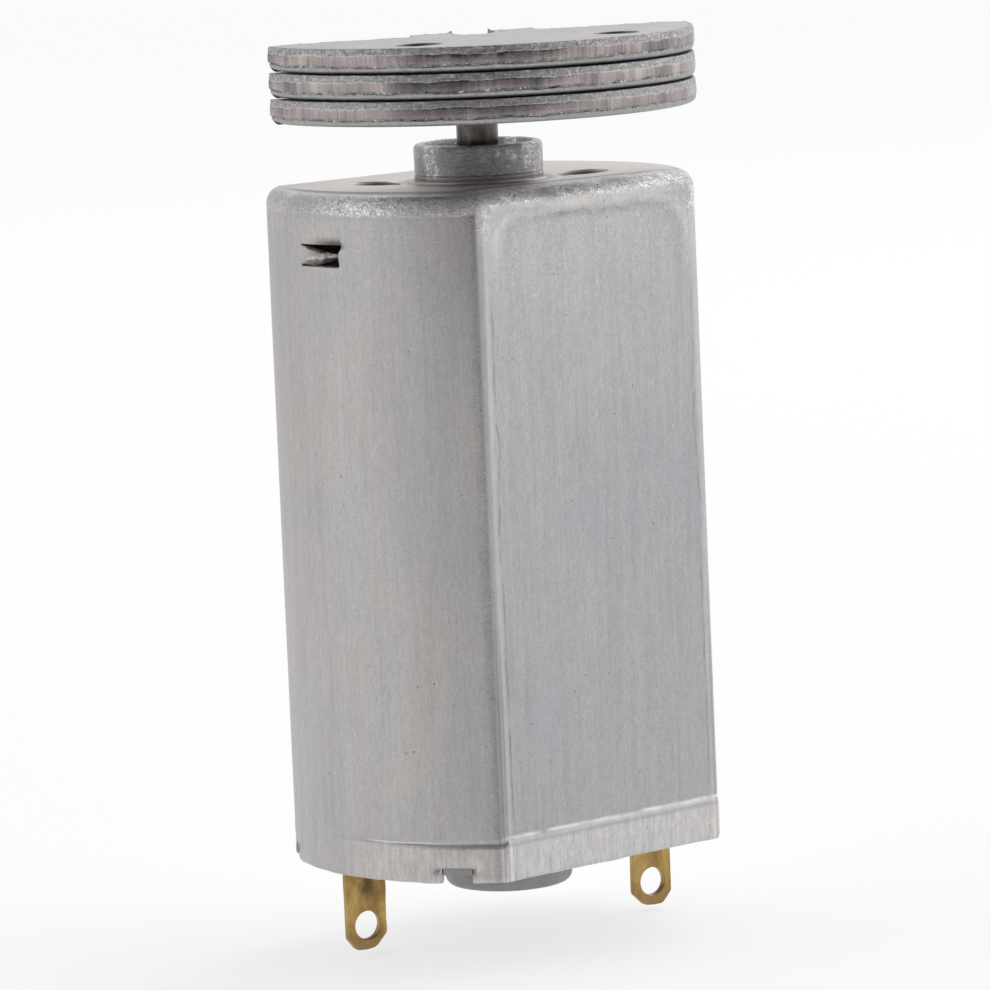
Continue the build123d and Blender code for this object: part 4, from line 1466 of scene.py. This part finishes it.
    def lanced_tabs(self):
        """Dull pinkish tab with a bright torn edge, in a window with painted shade on the curled
        lip above it and a painted highlight round it.
        """
        x, y, z = self.x, self.y, self.z
        window = (self.abs_x.fade(7.5, 8.0) * self.abs_y.fade(2.1, 1.8)
                  * (z.fade(-3.42, -3.30) * z.fade(-2.02, -2.12)))
        along = y * (x.sign() * -1.0)
        # painted shade on the sheet curled in above the window
        lip = (self.abs_x.fade(8.0, 8.5) * z.ease(-1.72, -2.16)
               * (along.ease(1.1, -0.9) * along.ease(-1.40, -1.26)))
        lip = lip * z.fade(-2.5, -2.3)
        self.tint(lip * 0.92, (0.24, 0.22, 0.22))
        deep = window * self.radius.fade(10.12, 10.02)
        self.tint(deep * 0.8, (0.80, 0.70, 0.68))
        ragged = self.noise(self.p, 7.0, rough=0.7)
        self.torn = deep * (z.fade(-2.74, -2.86) * ragged.fade(0.40, 0.60))
        self.paint(self.torn * 0.75, (0.92, 0.91, 0.87))
        # painted highlight round the window
        shifted = y + x.sign() * 0.0
        halo_highlight = self.abs_x.fade(8.5, 9.0) * ((shifted * x.sign()).bell(0.1, 1.5)
                                            * z.bell(-1.85, 0.42))
        self.tint(halo_highlight * 0.55, (1.16, 1.12, 1.02))

    def roughness(self):
        """Base roughness by streak, then what each feature adds or takes away."""
        rough = self.streak.fade(0.25, 0.75, 0.52, 0.42)
        rough = rough + (self.grain - 0.5) * 0.24 + (self.dash - 0.5) * 0.10
        burnished = (self.edge * 0.8).maximum(self.corner_burnish_and_shade * 0.8)
        rough = rough - burnished * 0.13 + self.face * 0.08
        rough = rough - self.glint * self.zone * 0.10 - self.boss * 0.15
        rough = rough + self.rim * 1.0 * 0.04
        return maths(self.tree, "SUBTRACT", rough, self.nicks * 0.2, clamp=True)

    def relief(self):
        """Orange peel on the burnished edge, then fine relief over everything."""
        peel = self.noise(self.scaled(1.0, 1.0, 1.5), 7.5, rough=0.6, twist=0.8)
        where = (self.edge_top * 0.85).maximum(self.top_corner.maximum(self.corner_burnish_and_shade * 0.35))
        where = where * ((1.0 - self.face) * 0.85 + 0.15)
        normal = self.bump((peel + self.glint * 0.45) * where, strength=0.9, depth=0.060)
        height = self.dash * self.side * 0.55 + self.grain * 0.75
        height = height + self.fibre * (self.fibre_on * 0.9) + self.speck * 0.5
        height = height - self.pits * 1.6 - self.hair * 1.4 + self.nicks * 0.5
        height = height - self.scratches * 0.5 + self.torn * 1.2
        return self.bump(height, strength=0.55, depth=0.020, normal=normal)


def can_material():
    mat = CanSteel("drawn_zinc_steel")
    mat.sheet()
    mat.corners()
    mat.flat_frames()
    mat.front_edge()
    mat.face_and_boss()
    mat.rear_rim()
    mat.wear()
    mat.lanced_tabs()
    rough = mat.roughness()
    return mat.finish(rough, 0.92, mat.relief())


# ---------------------------------------------------------------------------
# plate material
# ---------------------------------------------------------------------------
def plate_material():
    """Plain faces; the rim runs from rolled edge to burnished land to torn zone."""
    mat = Material("blanked_steel_plate")
    h, s, rim = mat.attribute("h"), mat.attribute("s"), mat.attribute("rim")
    on_rim = rim.fade(0.5, 0.95)
    row = ((mat.z - 3.30) / PLATE_PITCH).floor() * 7.3      # differs for each plate

    def rim_noise(along, through, seed, **settings):
        """Noise on the rim, scaled along the outline and through the sheet."""
        return mat.noise(mat.xyz(s * along, row + seed, h * through), **settings)

    # zones of the rim, by wavering height
    wave = rim_noise(0.9, 0.0, 0.0, detail=4, rough=0.6)
    ripple = rim_noise(5.0, 0.0, 3.0, rough=0.6)
    level = h + ((wave - 0.5) * 0.13 + (ripple - 0.5) * 0.09)
    torn = level.fade(0.695, 0.715)
    lip = level.fade(0.665, 0.69) * level.fade(0.735, 0.71)
    roll = level.fade(0.275, 0.245)
    jagged = level + (rim_noise(9.0, 6.0, 5.0, rough=0.7) - 0.5) * 0.16
    line = jagged.fade(0.215, 0.250) * jagged.fade(0.345, 0.305)
    burnished = 1.0 - torn.maximum(roll)

    # flat faces
    grain = mat.noise(mat.p, 9.0, detail=4, rough=0.65)
    fine_grain = mat.noise(mat.p, 24.0, detail=2, rough=0.6)
    blotch = mat.noise(mat.p, 0.5, detail=4, rough=0.6)
    mat.colour = mat.ramp(blotch, [(0.3, (0.44, 0.43, 0.43)), (0.55, (0.50, 0.485, 0.48)),
                                   (0.75, (0.55, 0.525, 0.515))])
    mat.mottle(0.6, grain, (0.3, 0.80), (0.72, 1.15))
    face = mat.colour

    # burnished land
    wipe = rim_noise(7.0, 0.35, 7.0, detail=4, rough=0.65)
    broad_wipe = rim_noise(0.55, 0.0, 9.0)
    mid_wipe = rim_noise(2.0, 0.2, 11.0, detail=2, rough=0.5)
    mat.colour = mat.ramp(broad_wipe, [(0.34, (0.200, 0.188, 0.200)),
                                       (0.47, (0.315, 0.272, 0.270)),
                                       (0.62, (0.440, 0.392, 0.378))])
    mat.mottle(0.80, wipe, (0.28, 0.68), (0.75, 1.25))
    mat.mottle(0.60, mid_wipe, (0.30, 0.74), (0.7, 1.22))
    land = mat.colour

    # torn zone
    tear = rim_noise(7.0, 8.0, 13.0, detail=4, rough=0.72)
    broad_tear = rim_noise(2.6, 2.0, 15.0, rough=0.6)
    mat.colour = mat.ramp(tear, [(0.32, (0.20, 0.193, 0.200)), (0.46, (0.355, 0.345, 0.355)),
                                 (0.58, (0.46, 0.447, 0.452)), (0.70, (0.86, 0.84, 0.84))])
    mat.mottle(0.5, broad_tear, (0.3, 0.80), (0.7, 1.16), middle=False)
    torn_colour = mat.colour

    # rolled lower edge
    mat.colour = mat.ramp(grain, [(0.3, (0.320, 0.322, 0.322)), (0.6, (0.420, 0.420, 0.418))])
    roll_grain = rim_noise(6.0, 5.0, 17.0, rough=0.6)
    mat.mottle(0.5, roll_grain, (0.3, 0.80), (0.72, 1.25))
    roll_colour = mat.colour

    # the rim put together, with a painted highlight along its lip and painted shade along the
    # jagged groove line
    mat.colour = mat.mix(torn, land, torn_colour)
    mat.paint(roll, roll_colour)
    lip_patches = rim_noise(3.0, 0.0, 19.0, rough=0.7).fade(0.40, 0.58)
    mat.paint(lip * lip_patches * 0.6, (0.72, 0.70, 0.69))
    line_grain = rim_noise(3.4, 2.0, 21.0, detail=4, rough=0.7)
    # the line is weaker away from the far end of the mass
    near_shaft = ((mat.x * -0.4067 + mat.y * -0.9135) * 1.0).ease(3.2, 1.2)
    mat.paint(line * line_grain.fade(0.44, 0.62) * 0.62 * (1.0 - near_shaft * 0.8),
              (0.085, 0.085, 0.088))
    # painted shade: darker where the rim faces -X -Y
    toward = ((mat.x * -0.7071 + mat.y * -0.7071) / PLATE_R).ease(0.925, 0.985)
    mat.tint(toward * burnished * 0.85, (0.55, 0.54, 0.57))
    mat.tint(toward * torn * 0.6, (0.72, 0.71, 0.73))
    chips = line * rim_noise(8.0, 9.0, 23.0, detail=2, rough=0.6).fade(0.60, 0.66)
    mat.paint(chips * 0.9, (0.80, 0.79, 0.77))
    rust = (rim_noise(8.0, 0.6, 25.0, detail=1).fade(0.64, 0.70)
            * rim_noise(0.22, 0.0, 27.0, detail=1).fade(0.50, 0.60))
    mat.paint(rust * burnished * 0.55, (0.22, 0.12, 0.09))

    # faces and rim together, pits, and painted shade in the wells of the holes
    mat.colour = mat.mix(on_rim, face, mat.colour)
    pits = (mat.cells(mat.p, 1.7).fade(0.10, 0.05)
            * mat.noise(mat.p, 1.1, detail=1).fade(0.5, 0.56))
    mat.paint(pits * 0.5, (0.12, 0.11, 0.11))
    for side in (-1, 1):
        a = math.radians(MASS_DEG + side * PLATE_HOLE_TURN)
        distance = mat.distance_to(PLATE_HOLE_R * math.cos(a), PLATE_HOLE_R * math.sin(a))
        mat.paint(distance.fade(1.16, 1.06) * 0.88, (0.10, 0.095, 0.095))

    face_rough = grain.fade(0.3, 0.7, 0.38, 0.56)
    land_rough = wipe.fade(0.3, 0.7, 0.18, 0.30) + (mid_wipe - 0.5) * 0.25
    rim_rough = land_rough * burnished + (1.0 - burnished) * 0.52
    rough = rim_rough * on_rim + face_rough * (1.0 - on_rim)
    height = grain * 0.7 + fine_grain * 0.5
    height = height + tear * torn * (on_rim * 3.4)
    height = height + roll_grain * roll * (on_rim * 1.0)
    height = height + wipe * burnished * (on_rim * 0.9)
    height = height - line * line_grain * (on_rim * 2.5)
    return mat.finish(rough, 0.95, mat.bump(height, strength=0.6, depth=0.022))


# ---------------------------------------------------------------------------
# other materials
# ---------------------------------------------------------------------------
def brass_material():
    mat = Material("tarnished_brass")
    across = mat.x * math.cos(TAG_TURN) + mat.y * math.sin(TAG_TURN)
    blotch = mat.noise(mat.scaled(0.9, 0.9, 0.7), detail=5, rough=0.62, twist=0.5)
    grain = mat.noise(mat.p, 12.0, rough=0.65)
    brush = mat.noise(mat.xyz(across * 6.0, mat.z * 0.8, 0.0), rough=0.6)
    mat.colour = mat.ramp(blotch, [(0.28, (0.235, 0.143, 0.054)),
                                   (0.48, (0.390, 0.255, 0.092)),
                                   (0.66, (0.515, 0.352, 0.128))])
    mat.mottle(0.5, grain, (0.3, 0.74), (0.72, 1.15))
    mat.mottle(0.35, brush, (0.3, 0.78), (0.7, 1.12), middle=False)
    # brown heat stain above the left tag's hole
    dx, dz = mat.x + 7.75, mat.z + 33.15
    distance = (dx * dx * 2.2 + dz * dz * 0.9).sqrt()
    distance = distance + (mat.noise(mat.p, 2.6, detail=4, rough=0.7) - 0.5) * 1.1
    stain = distance.ease(0.85, 0.15) * 0.85
    mat.paint(stain, (0.115, 0.085, 0.045))
    # browner towards the tip
    mat.paint(mat.z.ease(-34.6, -36.1) * 0.55, (0.30, 0.185, 0.090))
    rough = blotch.fade(0.3, 0.7, 0.46, 0.30) + (grain - 0.5) * 0.18 + stain * 0.15
    height = brush * 0.6 + grain * 0.6
    return mat.finish(rough, 0.95, mat.bump(height, strength=0.5, depth=0.018))


def metal_material(name, dark, light, smoothest, roughest, blotch_scale=0.9, lines=None,
                   grain_scale=14.0, depth=0.015, metal=1.0, pores=0.0):
    """Grained metal, optionally with turned or drawn lines and dark pores."""
    mat = Material(name)
    blotch = mat.noise(mat.p, blotch_scale, detail=4, rough=0.6)
    grain = mat.noise(mat.p, grain_scale, rough=0.65)
    mat.colour = mat.mix(blotch.fade(0.3, 0.7), dark, light)
    mat.mottle(0.5, grain, (0.3, 0.80), (0.72, 1.15))
    height = grain
    if lines:
        if lines == "turned":
            radius = (mat.x * mat.x + mat.y * mat.y).sqrt()
            pattern = mat.noise(mat.xyz(radius * 14.0, 0.0, mat.z * 14.0), detail=2, rough=0.6)
            amount = 0.4
        else:
            pattern = mat.noise(mat.scaled(10.0, 10.0, 0.4), rough=0.6)
            amount = 0.45
        mat.mottle(amount, pattern, (0.3, 0.8), (0.7, 1.12), middle=False)
        height = grain * 0.5 + pattern
    if pores:
        pore = mat.cells(mat.p, 3.2).fade(0.16, 0.08)
        mat.paint(pore * pores, (0.05, 0.045, 0.04))
        height = height - pore * 1.2
    rough = grain.fade(0.3, 0.7, smoothest, roughest)
    return mat.finish(rough, metal, mat.bump(height, strength=0.5, depth=depth))


def plastic_material(name, dark, light, smoothest=0.42, roughest=0.55, grain_scale=20.0,
                     depth=0.01):
    """Moulded or pressed non-metal with a few dark specks."""
    mat = Material(name)
    blotch = mat.noise(mat.p, 0.5, rough=0.6)
    grain = mat.noise(mat.p, grain_scale, rough=0.6)
    mat.colour = mat.mix(blotch.fade(0.3, 0.7), dark, light)
    mat.mottle(0.35, grain, (0.3, 0.86), (0.7, 1.08), middle=False)
    specks = mat.cells(mat.p, 0.9).fade(0.07, 0.035) * 0.5
    mat.paint(specks, (0.10, 0.09, 0.08))
    rough = grain.fade(0.3, 0.7, smoothest, roughest)
    return mat.finish(rough, 0.0, mat.bump(grain, strength=0.4, depth=depth))


def wire_material():
    mat = Material("enamelled_copper")
    blotch = mat.noise(mat.p, 0.8, rough=0.6)
    grain = mat.noise(mat.p, 16.0, detail=2, rough=0.6)
    mat.colour = mat.mix(blotch.fade(0.3, 0.7), (0.42, 0.115, 0.045), (0.62, 0.20, 0.075))
    mat.mottle(0.4, grain, (0.3, 0.8), (0.7, 1.12), middle=False)
    rough = grain.fade(0.3, 0.7, 0.20, 0.34)
    coat = {"Coat Weight": 0.5, "Coat Roughness": 0.15}
    return mat.finish(rough, 0.9, mat.bump(grain, strength=0.4, depth=0.01), **coat)


def end_cap_material():
    mat = Material("end_cap_steel")
    grain = mat.noise(mat.p, 9.0, detail=4, rough=0.65)
    fine_grain = mat.noise(mat.p, 22.0, detail=2, rough=0.6)
    blotch = mat.noise(mat.p, 0.7, rough=0.6)
    mat.colour = mat.ramp(blotch, [(0.3, (0.27, 0.274, 0.280)), (0.7, (0.345, 0.342, 0.340))])
    mat.mottle(0.6, grain, (0.3, 0.74), (0.72, 1.2))
    height = grain + fine_grain * 0.5
    pits = mat.cells(mat.p, 2.1).fade(0.13, 0.06) * 0.6
    mat.paint(pits, (0.12, 0.12, 0.12))
    rough = grain.fade(0.3, 0.7, 0.42, 0.60)
    return mat.finish(rough, 0.95, mat.bump(height - pits, strength=0.6, depth=0.02))


def set_material(obj, material):
    obj.data.materials.clear()
    obj.data.materials.append(material)
    for polygon in obj.data.polygons:
        polygon.material_index = 0


# ---------------------------------------------------------------------------
# the visible pieces
# ---------------------------------------------------------------------------
set_material(build_can(), can_material())
plate_steel = plate_material()
for name, level, through in (("plate_bottom", 0, True), ("plate_middle", 1, False),
                             ("plate_top", 2, False)):
    set_material(build_plate(name, level, through), plate_steel)
brass = brass_material()
set_material(build_terminal("left", variant=0, hole_x=0.02, bend_by=1), brass)
set_material(build_terminal("right", variant=1, hole_x=0.0, bend_by=-0.4), brass)
set_material(build_end_cap(), end_cap_material())
set_material(build_shaft(), metal_material(
    "ground_shaft_steel", (0.030, 0.026, 0.024), (0.135, 0.118, 0.110), 0.16, 0.28,
    blotch_scale=1.35, lines="drawn"))
bronze = metal_material("sintered_bronze", (0.16, 0.13, 0.10), (0.27, 0.21, 0.15), 0.45, 0.62,
                        grain_scale=10.0, depth=0.03, metal=0.9, pores=0.7)
set_material(build_bearing("front_bush", "front_bearing", 2.45, 1.46, -1.0), bronze)
set_material(build_bearing("rear_bush", "rear_bearing", 2.3, -30.95, -33.5), bronze)

# ---------------------------------------------------------------------------
# carried-over parts keep their shape: material (dark, light, roughness range), nodes
# ---------------------------------------------------------------------------
for material, nodes in (
    (metal_material("core_steel", (0.26, 0.27, 0.29), (0.38, 0.39, 0.41), 0.35, 0.5,
                    lines="drawn"), ("armature_laminations",)),
    (plastic_material("ferrite", (0.045, 0.045, 0.05), (0.075, 0.073, 0.075), 0.5, 0.68,
                      grain_scale=14.0, depth=0.02), ("magnet_left", "magnet_right")),
    (metal_material("spring_wire", (0.34, 0.34, 0.36), (0.46, 0.46, 0.48), 0.22, 0.34),
     ("magnet_spring_front", "magnet_spring_back")),
    (plastic_material("moulded_nylon", (0.70, 0.69, 0.64), (0.80, 0.79, 0.75)),
     ("brush_holder", "spacer_bush", "oil_washer")),
    (plastic_material("phenolic", (0.085, 0.045, 0.028), (0.125, 0.066, 0.040)),
     ("commutator_base", "commutator_ring")),
    (plastic_material("insulating_board", (0.05, 0.20, 0.14), (0.08, 0.27, 0.19)),
     ("core_insulator_front", "core_insulator_rear")),
    (metal_material("turned_copper", (0.62, 0.30, 0.17), (0.78, 0.42, 0.26), 0.18, 0.32,
                    lines="turned"),
     ("commutator_segment_1", "commutator_segment_2", "commutator_segment_3")),
    (metal_material("spring_copper", (0.60, 0.33, 0.18), (0.74, 0.45, 0.27), 0.24, 0.36),
     ("brush_leaf_left", "brush_leaf_right")),
    (plastic_material("copper_graphite", (0.035, 0.030, 0.028), (0.075, 0.055, 0.045), 0.45,
                      0.7, grain_scale=18.0, depth=0.02), ("brush_left", "brush_right")),
    (plastic_material("damper_rubber", (0.020, 0.020, 0.021), (0.035, 0.035, 0.036), 0.6, 0.8),
     ("leaf_damper_left", "leaf_damper_right")),
    (plastic_material("spark_ceramic", (0.07, 0.07, 0.072), (0.11, 0.11, 0.112), 0.5, 0.66),
     ("spark_ring",)),
    (plastic_material("washer_fibre", (0.42, 0.31, 0.20), (0.54, 0.42, 0.28), 0.5, 0.7),
     ("thrust_washer_front", "thrust_washer_rear")),
    (metal_material("washer_steel", (0.52, 0.52, 0.54), (0.64, 0.64, 0.66), 0.24, 0.38,
                    lines="turned"), ("thrust_washer_inner",)),
    (wire_material(), ("coil_1", "coil_2", "coil_3")),
):
    for node in nodes:
        set_material(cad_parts[node], material)


# ---------------------------------------------------------------------------
# floor, studio, camera and light
# ---------------------------------------------------------------------------
CAMERA_TURN, CAMERA_RISE, CAMERA_ROLL = -41.593, 7.451, -2.458     # degrees
# where the origin lies from the camera: right, up and ahead
ORIGIN_RIGHT, ORIGIN_UP, ORIGIN_AHEAD = -0.751, 15.032, 300.354
CAMERA_LENS = 229.3529455
FLOOR_HALF, FLOOR_GAP = 3, 0.0002                                 # metres
WORLD_LEVEL, WORLD_FLOOR = 0.92, 0.10     # brightness of the walls, and its lower limit
# degrees right of the camera, degrees up, cosines where the panel starts and is full,
# and how much brightness it adds
PANELS = [
    (8, 10, 0.58, 0.92, -0.78), (5, 42, 0.55, 0.92, -0.55), (0, 88, 0.55, 0.95, -0.52),
    (118, 45, 0.70, 0.97, 0.85), (78, 4, 0.80, 0.97, 0.10), (-76, 6, 0.84, 0.98, 0.20),
    (-92, 38, 0.80, 0.98, 0.34), (-138, -2, 0.72, 0.97, -0.26), (95, 22, 0.80, 0.98, 0.22),
]


def build_floor():
    z = TAG_TIP * MM - FLOOR_GAP
    mesh = bpy.data.meshes.new("floor")
    mesh.from_pydata([(x * FLOOR_HALF, y * FLOOR_HALF, z)
                      for x, y in ((-1, -1), (1, -1), (1, 1), (-1, 1))], [], [(0, 1, 2, 3)])
    floor = add_object("floor", mesh)
    material = bpy.data.materials.new("floor_white")
    material.use_nodes = True
    shader = material.node_tree.nodes["Principled BSDF"]
    for name, value in (("Base Color", (0.34, 0.34, 0.34, 1)), ("Roughness", 0.9),
                        ("Specular IOR Level", 0.1), ("Emission Color", (1, 1, 1, 1)),
                        ("Emission Strength", 0.68)):
        shader.inputs[name].default_value = value
    floor.data.materials.append(material)


def build_world(scene):
    """Pale walls with light and dark panels, seen as plain white by the camera."""
    world = bpy.data.worlds.new("studio")
    scene.world = world
    world.use_nodes = True
    tree = world.node_tree
    coords = tree.nodes.new("ShaderNodeTexCoord")
    direction = Field(tree, coords.outputs["Generated"])
    brightness = WORLD_LEVEL
    for right, up, start, full, amount in PANELS:
        a, e = math.radians(CAMERA_TURN - 90 + right), math.radians(up)
        centre = (math.cos(a) * math.cos(e), math.sin(a) * math.cos(e), math.sin(e))
        dot = add_node(tree, "ShaderNodeVectorMath", "DOT_PRODUCT", direction, centre)
        cosine = Field(tree, dot.outputs["Value"])
        brightness = brightness + cosine.ease(start, full, 0.0, amount)
    brightness = brightness.maximum(WORLD_FLOOR)
    light_path = tree.nodes.new("ShaderNodeLightPath")
    mix = tree.nodes.new("ShaderNodeMix")
    mix.data_type = "FLOAT"
    put(tree, mix.inputs[0], Field(tree, light_path.outputs["Is Camera Ray"]))
    put(tree, mix.inputs[2], brightness)
    mix.inputs[3].default_value = 1.0
    background = tree.nodes["Background"]
    background.inputs[0].default_value = (1.0, 1.0, 1.0, 1)
    put(tree, background.inputs[1], Field(tree, mix.outputs[0]))


def build_camera(scene):
    turn, rise, roll = (math.radians(v) for v in (CAMERA_TURN, CAMERA_RISE, CAMERA_ROLL))
    back = Vector((math.sin(turn) * math.cos(rise), -math.cos(turn) * math.cos(rise),
                   math.sin(rise)))
    level_right = Vector((math.cos(turn), math.sin(turn), 0))
    level_up = back.cross(level_right)
    right = level_right * math.cos(roll) + level_up * math.sin(roll)
    up = -level_right * math.sin(roll) + level_up * math.cos(roll)
    place = -(right * ORIGIN_RIGHT + up * ORIGIN_UP + (-back) * ORIGIN_AHEAD)
    data = bpy.data.cameras.new("view")
    camera = add_object("view", data)
    data.sensor_width = 36.0
    data.sensor_fit = "HORIZONTAL"
    data.lens = CAMERA_LENS
    data.clip_start = 0.01
    data.clip_end = 20
    rows = [(right[i], up[i], back[i], place[i] * MM) for i in range(3)]
    camera.matrix_world = Matrix((*rows, (0, 0, 0, 1)))
    scene.camera = camera


def build_light(name, place, target, size, power):
    light = bpy.data.lights.new(name, "AREA")
    light.shape = "SQUARE"
    light.size = size * MM
    light.energy = power
    place = Vector(place)
    aim = (Vector(target) - place).to_track_quat("-Z", "Y")
    obj = bpy.data.objects.new(name, light)
    obj.location = place * MM
    obj.rotation_euler = aim.to_euler()
    bpy.context.scene.collection.objects.link(obj)


build_floor()
scene = bpy.context.scene
scene.view_settings.view_transform = "Standard"
scene.view_settings.look = "None"
scene.view_settings.exposure = 0.0
build_world(scene)
build_camera(scene)
build_light("soft_panel", place=(330, 120, 300), target=(0, 0, -14), size=220, power=0.25)
